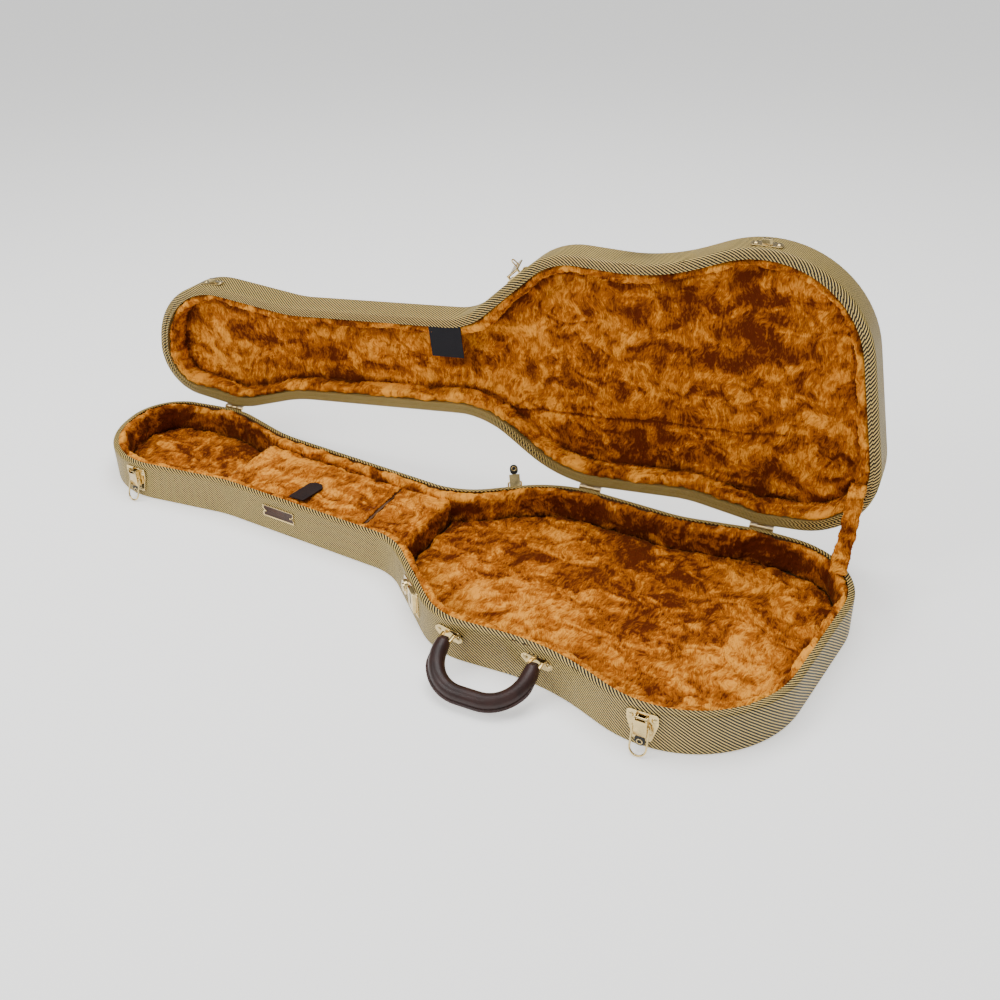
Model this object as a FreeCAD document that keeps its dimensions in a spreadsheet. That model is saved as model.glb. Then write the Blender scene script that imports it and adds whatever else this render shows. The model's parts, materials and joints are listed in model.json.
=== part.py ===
import FreeCAD, Part
import math
import os
import re
import Sketcher

# Shaped hard case for a solid-body guitar, open, lying on its underside.
# +Z up, +X to the body end, -Y to the handle side, origin at the centre of the underside.
# Every length is in millimetres and lives in the sheet under its own name.
SIZES = {
    "case_length": 1068, "case_width": 354, "base_height": 52, "lid_height": 47,
    "skin": 1, "wall": 5, "panel": 4, "edge_round": 3, "rim_band": 8,
    "wall_pad": 12, "pad_drop": 1.2, "floor_pad": 10, "lining": 3,
    "lid_lip": 7, "lid_lip_drop": 1.2, "lid_pad": 12, "lid_pad_drop": 3.2, "lid_panel_pad": 10,
    # where the inner spaces begin, from the head end and from the body end
    "partition_from_head": 234, "partition": 10, "neck_rest_from_body": 520, "neck_rest": 76,
    "neck_level": 38, "lid_board": 4, "lid_plush": 5, "lid_gap": 1, "board_play": 0.4,
    "tab_width": 24, "tab_length": 46, "tab_thick": 1.6, "tab_from_head": 362,
    # lid hinges: the axis stands off the rear wall and above the rim
    "axis_out": 2.5, "rim_gap": 0.5, "leaf_width": 30, "leaf_height": 20, "leaf_thick": 1,
    "knuckle_radius": 2.4, "hinge_pin_radius": 1.2, "pin_play": 0.05, "knuckle_play": 0.3,
    "leaf_rivet_rise": 12, "leaf_clear": 0.1,
    # draw latches
    "latch_top": 47, "latch_width": 34, "latch_foot": 20, "latch_height": 36, "sheet_metal": 1.2,
    "lever_pin_drop": 5, "lever_axis_out": 5, "lever_pin_radius": 1.2, "lug_gap": 9,
    "lug_eye": 1.8, "head_round": 3.4, "latch_ear": 12, "latch_rivet_in": 4.6, "latch_rivet_down": 7,
    "latch_rivet_up": 5, "lever_slot": 1.6, "thumb_taper": 4, "thumb_sunk": 0.4, "bail_bend": 1.5,
    "bail_end_play": 0.4, "catch_rivet_in": 5, "catch_ear": 8, "catch_taper": 3,
    "lever_width": 14, "lever_length": 24, "lever_wall": 1, "lever_deep": 8,
    "thumb_width": 11, "thumb_reach": 13, "thumb_thick": 2.4,
    "bail_wire": 1.1, "bail_drop": 15, "bail_width": 17.6, "bail_reach": 31.8, "catch_rise": 16,
    "catch_width": 36, "catch_height": 15, "hook_width": 12, "hook_reach": 6.5,
    "rivet_shank": 1.5, "rivet_head": 3.2, "rivet_dome": 1.4, "rivet_depth": 5,
    # lock latch
    "lock_width": 54, "lock_high": 34, "lock_low": 24, "lock_middle": 34, "boss_radius": 9, "boss_out": 5,
    "barrel_radius": 5, "barrel_out": 6.5, "key_slot": 1.2, "slot_width": 4, "slot_height": 15,
    "hasp_width": 30, "hasp_height": 16, "hasp_rise": 12, "hasp_arm": 26, "hasp_arm_width": 15,
    "hasp_axis_out": 5.4, "hasp_eye": 1.6, "hasp_pin_radius": 0.8, "hasp_metal": 1.6,
    "loop_wire": 0.9, "loop_reach": 8.4, "pocket_depth": 4,
    "lock_neck": 18, "lock_taper": 4, "lock_rivet_in": 3.7, "hasp_from_edge": 8, "slot_rise": 2,
    "case_border": 2, "hasp_lug": 1.6, "hasp_play": 0.4, "hasp_rivet_in": 3.6, "hasp_rivet_down": 4,
    "loop_foot": 5, "loop_legs": 3.2,
    # handle
    "handle_height": 36, "bracket_long": 40, "bracket_high": 14, "bracket_thick": 1.3, "bracket_rivet": 14.5,
    "loop_bar": 1.6, "loop_half": 6.5, "handle_out": 12.5, "eye_radius": 5, "eye_length": 9,
    "eye_neck": 9, "bracket_end": 6, "bracket_tip": 2,
    "grip_radius": 9.5, "grip_reach": 52, "grip_corner": 42, "grip_start": 7,
    "badge_long": 52, "badge_high": 17, "badge_thick": 1.4, "badge_level": 32, "badge_notch": 2.5,
    "badge_pin": 1.1, "badge_pin_in": 5, "badge_pin_head": 0.5,
    "label_long": 48, "label_high": 46, "label_thick": 1.0,
    "strap_width": 20, "strap_thick": 8, "strap_foot_in": 26, "strap_foot_from_rear": 60,
    "strap_foot_rise": 2, "strap_head_in": 22, "strap_head_forward": 4.4, "strap_head_rise": 92,
}

# Outline arcs, counter-clockwise from the head end: turn (1 round outwards, -1 hollow),
# the end that x is measured from, x, the side that y is measured from, y, and radius.
OUTLINE = (
    ("head_front", 1, "head", 120, "rear", 71, 119),
    ("neck_front", -1, "head", 247, "rear", 360, 179),
    ("shoulder_front", -1, "body", 575, "rear", 286, 82),
    ("upper_front", 1, "body", 385, "front", 135, 96),
    ("waist_front", -1, "body", 332, "front", -215, 255),
    ("lower_front", 1, "body", 158, "front", 135, 135),
    ("end_corner", 1, "body", 95, "rear", 98, 95),
    ("lower_rear", 1, "body", 130, "rear", 134, 134),
    ("waist_rear", -1, "body", 231, "rear", -145, 156),
    ("upper_rear", 1, "body", 359, "rear", 160, 160),
    ("shoulder_rear", -1, "body", 542, "rear", -42, 110),
    ("neck_rear", -1, "head", 298, "rear", -174, 214),
    ("head_rear", 1, "head", 126, "rear", 130, 130),
    ("head_corner", 1, "head", 65, "rear", 70, 65),
)

# Places of the fittings along the case, as distances from the head end or the body end.
LATCHES = {
    "front_left": ("head", 109, "front"),
    "front_right": ("body", 160, "front"),
    "rear": ("body", 452, "rear"),
}
HINGES = {"head": ("head", 126), "upper": ("body", 359), "lower": ("body", 130)}
LOCK_PLACE = ("body", 474)
BRACKETS = {"left": ("body", 398), "right": ("body", 291)}
BADGE_PLACE = ("head", 348)
LABEL_PLACE = ("head", 498)
OPEN_ANGLE = 90
HANDLE_DROOP = 24.5
REAR_LEVER_LIFT = 150
BAIL_LEAN = 18
HASP_LIFT = 165

V = FreeCAD.Vector
X_AXIS = V(1, 0, 0)
Y_AXIS = V(0, 1, 0)
Z_AXIS = V(0, 0, 1)
OUTWARD = V(0, -1, 0)
ORIGIN = V(0, 0, 0)
doc = FreeCAD.newDocument("guitar_case")
nodes = []


# ---------------------------------------------------------------- sheet and helpers
def make_sheet():
    cells = doc.addObject("Spreadsheet::Sheet", "sizes")
    rows = dict(SIZES)
    for name, turn, end, x, side, y, radius in OUTLINE:
        rows[name + "_x"] = x
        rows[name + "_y"] = y
        rows[name + "_radius"] = radius
    for row, (name, value) in enumerate(rows.items(), start=1):
        cells.set("A%d" % row, name)
        cells.set("B%d" % row, str(value))
        cells.setAlias("B%d" % row, name)
    doc.recompute()
    return cells


sheet = make_sheet()


def size(name):
    return float(getattr(sheet, name))


def bound(text):
    # writes each name of the sheet as a reference to its cell
    return re.sub(r"[a-z][a-z_]*[a-z]", lambda word: "sizes." + word.group(0), text)


def bind(thing, **values):
    for name, value in values.items():
        path = name.replace("__", ".")
        if isinstance(value, str):
            thing.setExpression(path, bound(value))
        else:
            setattr(thing, path, value)
    return thing


def place(thing, placement, keep=False):
    # keep puts the placement in front of the one that the object has
    thing.Placement = placement.multiply(thing.Placement) if keep else placement
    return thing


def moved(x=0, y=0, z=0, axis=Z_AXIS, angle=0):
    return FreeCAD.Placement(V(x, y, z), FreeCAD.Rotation(axis, angle))


def bind_place(thing, x="0", y="0", z="0"):
    for letter, value in (("x", x), ("y", y), ("z", z)):
        if value != "0":
            thing.setExpression("Placement.Base." + letter, bound(value))
    return thing


def box(name, length, width, height, x="0", y="0", z="0"):
    thing = doc.addObject("Part::Box", name)
    bind(thing, Length=length, Width=width, Height=height)
    return bind_place(thing, x, y, z)


def rod(name, radius, length, start, axis=X_AXIS):
    # cylinder from a point along an axis
    thing = doc.addObject("Part::Cylinder", name)
    bind(thing, Radius=radius, Height=length)
    return place(thing, FreeCAD.Placement(start, FreeCAD.Rotation(Z_AXIS, axis)))


def cut(name, base, *tools):
    for number, tool in enumerate(tools):
        result = doc.addObject("Part::Cut", "%s_cut%d" % (name, number))
        result.Base = base
        result.Tool = tool
        base = result
    return base


def fuse(name, *shapes):
    result = doc.addObject("Part::MultiFuse", name + "_fused")
    result.Shapes = list(shapes)
    result.Refine = False
    return result


def common(name, first, second):
    result = doc.addObject("Part::Common", name + "_common")
    result.Base = first
    result.Tool = second
    return result


def group(name, *shapes):
    result = doc.addObject("Part::Compound", name + "_group")
    result.Links = list(shapes)
    return result


def plate(name, points, thick, axis=Z_AXIS, corner=0):
    # flat sheet cut to a polygon in the XZ plane, thickness towards -Y, corners rounded
    sketch = doc.addObject("Sketcher::SketchObject", name + "_sketch")
    count = len(points)
    corners = []
    for number in range(count):
        here = V(points[number][0], points[number][1], 0)
        before = (V(points[number - 1][0], points[number - 1][1], 0) - here).normalize()
        after = (V(points[(number + 1) % count][0], points[(number + 1) % count][1], 0) - here).normalize()
        half = math.acos(before.dot(after)) / 2
        back = corner / math.tan(half)
        middle = here + (before + after).normalize() * (corner / math.sin(half) - corner)
        corners.append((here + before * back, middle, here + after * back))
    for number in range(count):
        start, middle, end = corners[number]
        if corner:
            sketch.addGeometry(Part.Arc(start, middle, end))
        sketch.addGeometry(Part.LineSegment(end, corners[(number + 1) % count][0]))
    sketch.Placement = moved(axis=X_AXIS, angle=90)
    solid = doc.addObject("Part::Extrusion", name + "_sheet")
    solid.Base = sketch
    solid.DirMode = "Custom"
    solid.Dir = V(0, -1, 0)
    solid.Solid = True
    return bind(solid, LengthFwd=thick)


def wire_tube(name, edges, radius):
    # round wire along a chain of edges
    path = doc.addObject("Part::Feature", name + "_path")
    path.Shape = Part.Wire(edges)
    start = edges[0].valueAt(edges[0].FirstParameter)
    heading = edges[0].tangentAt(edges[0].FirstParameter)
    section = doc.addObject("Part::Circle", name + "_section")
    bind(section, Radius=radius)
    section.Placement = FreeCAD.Placement(start, FreeCAD.Rotation(Z_AXIS, heading))
    tube = doc.addObject("Part::Sweep", name + "_tube")
    tube.Sections = [section]
    tube.Spine = (path, [])
    tube.Solid = True
    tube.Frenet = False
    return tube


def line(start, end):
    return Part.LineSegment(start, end).toShape()


def arc(start, middle, end):
    return Part.Arc(start, middle, end).toShape()


def node(thing, label, placement=None):
    thing.Label = label
    if placement is not None:
        thing.Placement = placement.multiply(thing.Placement)
    nodes.append(thing)
    return thing


# ---------------------------------------------------------------- outline
def from_end(end, distance):
    half = size("case_length") / 2
    return distance - half if end == "head" else half - distance


def outline_circles():
    circles = []
    half = size("case_width") / 2
    for name, turn, end, x, side, y, radius in OUTLINE:
        across = half - y if side == "rear" else y - half
        circles.append((turn, from_end(end, x), across, radius))
    return circles


def outline_headings(circles):
    # heading of the tangent line that leaves each arc
    headings = []
    for number, (turn, x, y, radius) in enumerate(circles):
        next_turn, next_x, next_y, next_radius = circles[(number + 1) % len(circles)]
        reach = math.hypot(next_x - x, next_y - y)
        swing = math.asin((next_turn * next_radius - turn * radius) / reach)
        headings.append(math.atan2(next_y - y, next_x - x) - swing)
    return headings


def arc_point(circle, heading):
    turn, x, y, radius = circle
    return V(x + turn * radius * math.sin(heading), y - turn * radius * math.cos(heading), 0)


circles = outline_circles()
headings = outline_headings(circles)


def make_outline():
    sketch = doc.addObject("Sketcher::SketchObject", "case_outline")
    arcs = []
    lines = []
    for number, circle in enumerate(circles):
        turn, x, y, radius = circle
        start = arc_point(circle, headings[number - 1])
        end = arc_point(circle, headings[number])
        first = math.atan2(start.y - y, start.x - x)
        last = math.atan2(end.y - y, end.x - x)
        if turn < 0:
            first, last = last, first
        if last < first:
            last += 2 * math.pi
        round_part = Part.ArcOfCircle(Part.Circle(V(x, y, 0), Z_AXIS, radius), first, last)
        arcs.append(sketch.addGeometry(round_part))
        following = arc_point(circles[(number + 1) % len(circles)], headings[number])
        lines.append(sketch.addGeometry(Part.LineSegment(end, following)))
    for number, circle in enumerate(circles):
        after = (number + 1) % len(circles)
        leaving = 2 if circle[0] > 0 else 1
        entering = 1 if circles[after][0] > 0 else 2
        sketch.addConstraint(Sketcher.Constraint("Tangent", arcs[number], leaving, lines[number], 1))
        sketch.addConstraint(Sketcher.Constraint("Tangent", lines[number], 2, arcs[after], entering))
    for number, (name, turn, end, x, side, y, radius) in enumerate(OUTLINE):
        along = "%s_x - case_length / 2" if end == "head" else "case_length / 2 - %s_x"
        across = "case_width / 2 - %s_y" if side == "rear" else "%s_y - case_width / 2"
        circle = circles[number]
        for kind, value, text in (("Radius", circle[3], "%s_radius"), ("DistanceX", circle[1], along),
                                  ("DistanceY", circle[2], across)):
            if kind == "Radius":
                rule = Sketcher.Constraint(kind, arcs[number], value)
            else:
                rule = Sketcher.Constraint(kind, -1, 1, arcs[number], 3, value)
            index = sketch.addConstraint(rule)
            label = "%s_%s" % (name, kind.lower())
            sketch.renameConstraint(index, label)
            sketch.setExpression("Constraints." + label, bound(text % name))
    doc.recompute()
    return sketch


outline = make_outline()
insets = {}


def inset_outline(inset):
    if inset == "0":
        return outline
    if inset not in insets:
        offset = doc.addObject("Part::Offset2D", "outline_inset%d" % len(insets))
        offset.Source = outline
        insets[inset] = bind(offset, Value="-(%s)" % inset)
    return insets[inset]


def prism(name, inset, bottom, height):
    # a slab with the plan of the case, drawn in by the inset
    solid = doc.addObject("Part::Extrusion", name)
    solid.Base = inset_outline(inset)
    solid.DirMode = "Custom"
    solid.Dir = Z_AXIS
    solid.Solid = True
    solid.FaceMakerClass = "Part::FaceMakerBullseye"
    bind(solid, LengthFwd=height)
    return bind_place(solid, z=bottom)


def ring(name, outer, inner, bottom, height):
    hole_bottom = "%s - 1" % bottom
    hole_height = "%s + 2" % height
    return cut(name, prism(name + "_outer", outer, bottom, height),
               prism(name + "_inner", inner, hole_bottom, hole_height))


def rounded_rims(name, solid, radius):
    # rounds every edge of the solid's upper and lower faces
    doc.recompute()
    bounds = solid.Shape.BoundBox
    fillet = doc.addObject("Part::Fillet", name + "_rounded")
    fillet.Base = solid
    edges = []
    for number, edge in enumerate(solid.Shape.Edges, start=1):
        middle = edge.BoundBox
        at_end = min(abs(middle.ZMin - bounds.ZMin), abs(middle.ZMax - bounds.ZMax)) < 1e-6
        if middle.ZLength < 1e-6 and at_end:
            edges.append((number, radius, radius))
    fillet.Edges = edges
    return fillet


def wall_at(place_from, side):
    # point of the outline at a station and the turn of its outward normal from -Y
    x = from_end(*place_from[:2])
    best = None
    for number, circle in enumerate(circles):
        turn, cx, cy, radius = circle
        start = arc_point(circle, headings[number - 1])
        end = arc_point(circle, headings[number])
        following = arc_point(circles[(number + 1) % len(circles)], headings[number])
        if min(start.x, end.x) <= x <= max(start.x, end.x):
            rise = math.sqrt(radius ** 2 - (x - cx) ** 2)
            outwards = -1 if side == "front" else 1
            y = cy + turn * outwards * rise
            best = better(best, V(x, y, 0), V(x - cx, y - cy, 0) * (turn / radius), side)
        if min(end.x, following.x) <= x <= max(end.x, following.x):
            share = (x - end.x) / (following.x - end.x)
            step = following - end
            best = better(best, end + step * share, V(step.y, -step.x, 0).normalize(), side)
    point, normal = best
    return point, math.degrees(math.atan2(normal.x, -normal.y))


def better(best, point, normal, side):
    if best is None:
        return point, normal
    outside = point.y < best[0].y if side == "front" else point.y > best[0].y
    return (point, normal) if outside else best


def on_wall(place_from, side, level):
    # frame of a fitting: X along the wall, Z up, -Y away from the wall
    point, angle = wall_at(place_from, side)
    return moved(point.x, point.y, level, Z_AXIS, angle)


# ---------------------------------------------------------------- lid position
hinge_y = size("case_width") / 2 + size("axis_out")
hinge_z = size("base_height") + size("rim_gap") / 2
LID_RIM = "base_height + rim_gap"
opened = FreeCAD.Placement(ORIGIN, FreeCAD.Rotation(X_AXIS, -OPEN_ANGLE), V(0, hinge_y, hinge_z))


# ---------------------------------------------------------------- base half
def make_base_shell():
    inner = "skin + wall"
    node(prism("underside_cover", "edge_round", "0", "skin"), "base_underside_cover")
    node(prism("bottom_panel", "skin", "skin", "panel"), "base_bottom_panel")
    wall_ring = ring("side_wall", "skin", inner, "skin + panel", "base_height - 2 * skin - panel")
    node(cut("side_wall_pocket", wall_ring, lock_pocket("wall_pocket")), "base_side_wall")
    body = rounded_rims("base_skin", prism("base_skin_block", "0", "0", "base_height"), size("edge_round"))
    hollow = prism("base_skin_hollow", "skin", "skin", "base_height - 2 * skin")
    mouth = prism("base_skin_mouth", "rim_band", "base_height - 2 * skin", "3 * skin")
    floor = prism("base_skin_floor", "edge_round", "-skin", "3 * skin")
    node(cut("base_skin", body, hollow, mouth, floor, lock_pocket("skin_pocket")), "base_covering")


def inside_box(name, start, end, bottom, height):
    # slab across the case between two stations given as expressions
    return box(name, "(%s) - (%s)" % (end, start), "case_width + 10", height,
               start, "-case_width / 2 - 5", bottom)


def make_base_inside():
    inner = "skin + wall"
    pad_face = "skin + wall + wall_pad"
    floor = "skin + panel"
    partition = "partition_from_head - case_length / 2"
    rest_end = "case_length / 2 - neck_rest_from_body"
    rest_start = rest_end + " - neck_rest"
    node(ring("wall_padding", inner, pad_face, floor, "base_height - skin - panel - pad_drop"),
         "base_wall_padding")
    spaces = (
        ("body_floor_pad", rest_end, "case_length / 2", "floor_pad"),
        ("headstock_floor_pad", "-case_length / 2", partition, "floor_pad"),
        ("headstock_partition", partition, partition + " + partition",
         "neck_level - lid_board - board_play - skin - panel"),
        ("compartment_lining", partition + " + partition", rest_start, "lining"),
        ("neck_rest_block", rest_start, rest_end, "neck_level + lid_plush - skin - panel"),
    )
    for label, start, end, height in spaces:
        slab = prism(label + "_plan", pad_face, floor, height)
        node(common(label, slab, inside_box(label + "_span", start, end, floor, height)), label)


def compartment_axis():
    # straight stretch of the rear neck wall, drawn in to the lid's rear edge
    number = [row[0] for row in OUTLINE].index("shoulder_rear")
    heading = headings[number]
    start = arc_point(circles[number], heading)
    inward = V(-math.sin(heading), math.cos(heading), 0)
    depth = size("skin") + size("wall") + size("wall_pad") + size("lid_gap")
    return start + inward * depth, V(-math.cos(heading), -math.sin(heading), 0)


def make_compartment_lid():
    pad_face = "skin + wall + wall_pad + lid_gap"
    start = "partition_from_head - case_length / 2"
    end = "case_length / 2 - neck_rest_from_body - neck_rest - 2 * lid_gap"
    point, along = compartment_axis()
    lean = math.degrees(math.atan2(along.y, along.x))
    for label, bottom, height in (("compartment_lid_board", "neck_level - lid_board", "lid_board"),
                                  ("compartment_lid_cover", "neck_level", "lid_plush")):
        slab = prism(label + "_plan", pad_face, bottom, height)
        span = common(label, slab, inside_box(label + "_span", start, end, bottom, height))
        behind = box(label + "_behind", "case_length", "case_width", 60)
        edge_line = moved(point.x, point.y, 0, Z_AXIS, lean)
        behind.Placement = edge_line.multiply(moved(x=-size("case_length") / 2))
        node(cut(label + "_trimmed", span, behind), label)
    front, turn = wall_at(("head", size("tab_from_head")), "front")
    depth = size("skin") + size("wall") + size("wall_pad") + size("lid_gap")
    half = size("tab_width") / 2
    tip = size("tab_length")
    outline_points = [(-half, 0), (half, 0), (half, tip - 6),
                      (half - 6, tip), (6 - half, tip), (-half, tip - 6)]
    tab = plate("tab", outline_points, "tab_thick", corner=2)
    level = size("neck_level") + size("lid_plush")
    spot = moved(front.x, front.y, level, Z_AXIS, turn).multiply(moved(y=depth + 1))
    node(tab, "compartment_pull_tab", spot.multiply(moved(axis=X_AXIS, angle=-90)))


# ---------------------------------------------------------------- lid half, drawn closed
def make_lid_shell():
    inner = "skin + wall"
    rim = LID_RIM
    top = rim + " + lid_height"
    cover = prism("lid_cover", "edge_round", top + " - skin", "skin")
    node(group("lid_cover", cover), "lid_top_cover", opened)
    panel = prism("lid_panel", "skin", top + " - skin - panel", "panel")
    node(group("lid_panel", panel), "lid_top_panel", opened)
    wall_ring = ring("lid_wall", "skin", inner, rim + " + skin", "lid_height - 2 * skin - panel")
    node(wall_ring, "lid_side_wall", opened)
    body = rounded_rims("lid_skin", prism("lid_skin_block", "0", rim, "lid_height"), size("edge_round"))
    hollow = prism("lid_skin_hollow", "skin", rim + " + skin", "lid_height - 2 * skin")
    mouth = prism("lid_skin_mouth", "rim_band", rim + " - skin", "3 * skin")
    roof = prism("lid_skin_roof", "edge_round", top + " - 2 * skin", "3 * skin")
    node(cut("lid_skin", body, hollow, mouth, roof), "lid_covering", opened)


def make_lid_inside():
    inner = "skin + wall"
    lip_face = inner + " + lid_lip"
    pad_face = lip_face + " + lid_pad"
    ceiling = "lid_height - skin - panel - lid_panel_pad"
    lip = ring("lip", inner, lip_face, LID_RIM + " + lid_lip_drop", ceiling + " - lid_lip_drop")
    node(lip, "lid_inner_lip", opened)
    padding = ring("lid_pad", lip_face, pad_face, LID_RIM + " + lid_pad_drop", ceiling + " - lid_pad_drop")
    node(padding, "lid_wall_padding", opened)
    panel_pad = prism("lid_panel_pad", inner, LID_RIM + " + " + ceiling, "lid_panel_pad")
    node(group("lid_panel_pad", panel_pad), "lid_panel_padding", opened)
    front, turn = wall_at(LABEL_PLACE, "front")
    label = box("label", "label_long", "label_high", "label_thick",
                "-label_long / 2", "rim_band + 1", LID_RIM + " + lid_pad_drop - label_thick - 0.2")
    node(group("label", label), "lid_label", opened.multiply(moved(front.x, front.y, 0, Z_AXIS, turn)))


# ---------------------------------------------------------------- hinges
def make_hinges():
    base_leaves = []
    lid_leaves = []
    pins = []
    third = size("leaf_width") / 3
    for name, place_from in HINGES.items():
        x = from_end(*place_from)
        at = moved(x, hinge_y, hinge_z)
        base_leaves.append(make_leaf("base_leaf_" + name, -1, (-1, 1), third, at))
        lid_leaves.append(make_leaf("lid_leaf_" + name, 1, (0,), third, opened.multiply(at)))
        pins.append(place(rod("hinge_pin_" + name, "hinge_pin_radius", "leaf_width",
                              V(-size("leaf_width") / 2, 0, 0)), at, True))
    node(group("base_leaves", *base_leaves), "hinge_base_leaves")
    node(group("lid_leaves", *lid_leaves), "hinge_lid_leaves")
    node(group("pins", *pins), "hinge_pins")


def make_leaf(name, up, knuckles, third, at):
    # plate on the wall below (up -1) or above (up 1) the axis, with its share of the knuckles
    wall_side = "-axis_out + 0.1"
    low = "-leaf_height" if up < 0 else "0.5"
    sheet_part = box(name + "_plate", "leaf_width", "leaf_thick", "leaf_height - 0.5",
                     "-leaf_width / 2", wall_side, low)
    parts = [sheet_part]
    reliefs = []
    play = size("knuckle_play") / 2
    for place_number in (-1, 0, 1):
        start = (place_number - 0.5) * third
        if place_number in knuckles:
            tube = rod("%s_knuckle%d" % (name, place_number + 1), "knuckle_radius",
                       "leaf_width / 3 - knuckle_play", V(start + play, 0, 0))
            web = box("%s_web%d" % (name, place_number + 1), "leaf_width / 3 - knuckle_play",
                      "leaf_thick", "knuckle_radius",
                      "%s + 0" % (start + play), wall_side, "-knuckle_radius" if up < 0 else "0")
            parts += [tube, web]
        else:
            relief = rod("%s_relief%d" % (name, place_number + 1), "knuckle_radius + knuckle_play",
                         "leaf_width / 3 + knuckle_play", V(start - play, 0, 0))
            reliefs.append(relief)
    bore = rod(name + "_bore", "hinge_pin_radius + pin_play", "leaf_width + 2",
               V(-size("leaf_width") / 2 - 1, 0, 0))
    inwards = size("leaf_thick") + size("leaf_clear") - size("axis_out")
    turned = at.multiply(moved(y=inwards, axis=Z_AXIS, angle=180))
    holes = []
    for number, x in enumerate((-size("leaf_width") / 3, size("leaf_width") / 3)):
        holes.append(rivet_hole("%s_hole%d" % (name, number), x, up * size("leaf_rivet_rise")))
        rivets = base_rivets if up < 0 else lid_rivets
        rivets.append(rivet("%s_rivet%d" % (name, number), turned, x,
                             up * size("leaf_rivet_rise"), 0))
    leaf = cut(name, fuse(name, *parts), *reliefs, *holes, bore)
    return place(leaf, at)


# ---------------------------------------------------------------- rivets
def rivet(name, at, x, z, lift):
    # dome head on the sheet metal and a shank into the wall
    shank = rod(name + "_shank", "rivet_shank", "rivet_depth", V(x, -lift, z), Y_AXIS)
    ball = doc.addObject("Part::Sphere", name + "_ball")
    dome_radius = "(rivet_head ^ 2 + rivet_dome ^ 2) / (2 * rivet_dome)"
    bind(ball, Radius=dome_radius)
    dome = (size("rivet_head") ** 2 + size("rivet_dome") ** 2) / (2 * size("rivet_dome"))
    ball.Placement = moved(x, -lift - size("rivet_dome") + dome, z)
    keep = rod(name + "_keep", "rivet_head + 1", "rivet_dome + 1", V(x, -lift, z), OUTWARD)
    head = common(name, ball, keep)
    return place(fuse(name, shank, head), at)


def rivet_hole(name, x, z):
    hole = rod(name, "rivet_shank", 20, V(x, -10, z), Y_AXIS)
    return hole


base_rivets = []
lid_rivets = []


# ---------------------------------------------------------------- draw latches
def make_latch(label, place_from):
    side = place_from[2]
    at = on_wall(place_from[:2], side, size("latch_top"))
    lift = REAR_LEVER_LIFT if side == "rear" else 0
    lean = -lift if lift else BAIL_LEAN
    name = "latch_" + label
    half, foot, drop = size("latch_width") / 2, size("latch_foot") / 2, size("latch_height")
    pin_z, out = -size("lever_pin_drop"), size("lever_axis_out")
    ear = size("latch_ear")
    metal = size("sheet_metal")
    corners = [(-half, 0), (-half, -ear), (-foot, -drop), (foot, -drop), (half, -ear), (half, 0)]
    sheet_part = plate(name, corners, "sheet_metal", corner=3)
    parts = [sheet_part]
    for hand in (-1, 1):
        lug = box("%s_lug%d" % (name, hand + 1), "lever_wall", "lever_axis_out", "2 * lug_eye")
        lug_start = hand * size("lug_gap") / 2 - size("lever_wall") / 2
        lug.Placement = moved(lug_start, -out, pin_z - size("lug_eye"))
        eye = rod("%s_eye%d" % (name, hand + 1), "lug_eye", "lever_wall",
                  V(hand * size("lug_gap") / 2 - size("lever_wall") / 2, -out, pin_z))
        parts += [lug, eye]
    rivet_x, rivet_z = half - size("latch_rivet_in"), -size("latch_rivet_down")
    holes = []
    rivet_foot = size("latch_rivet_up") - drop
    for number, (x, z) in enumerate(((-rivet_x, rivet_z), (rivet_x, rivet_z), (0, rivet_foot))):
        holes.append(rivet_hole("%s_hole%d" % (name, number), x, z))
        base_rivets.append(rivet("%s_rivet%d" % (name, number), at, x, z, metal))
    pin_hole = rod(name + "_pin_hole", "lever_pin_radius", "lever_width",
                   V(-size("lever_width") / 2, -out, pin_z))
    node(cut(name + "_plate", fuse(name + "_plate", *parts), *holes, pin_hole), name + "_plate", at)
    pin = rod(name + "_pin", "lever_pin_radius", "lever_width - 0.6",
              V(0.3 - size("lever_width") / 2, -out, pin_z))
    node(pin, name + "_pin", at)
    swing = at.multiply(FreeCAD.Placement(ORIGIN, FreeCAD.Rotation(X_AXIS, -lift), V(0, -out, pin_z)))
    make_lever(name, swing)
    make_bail(name, swing, lean)


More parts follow.
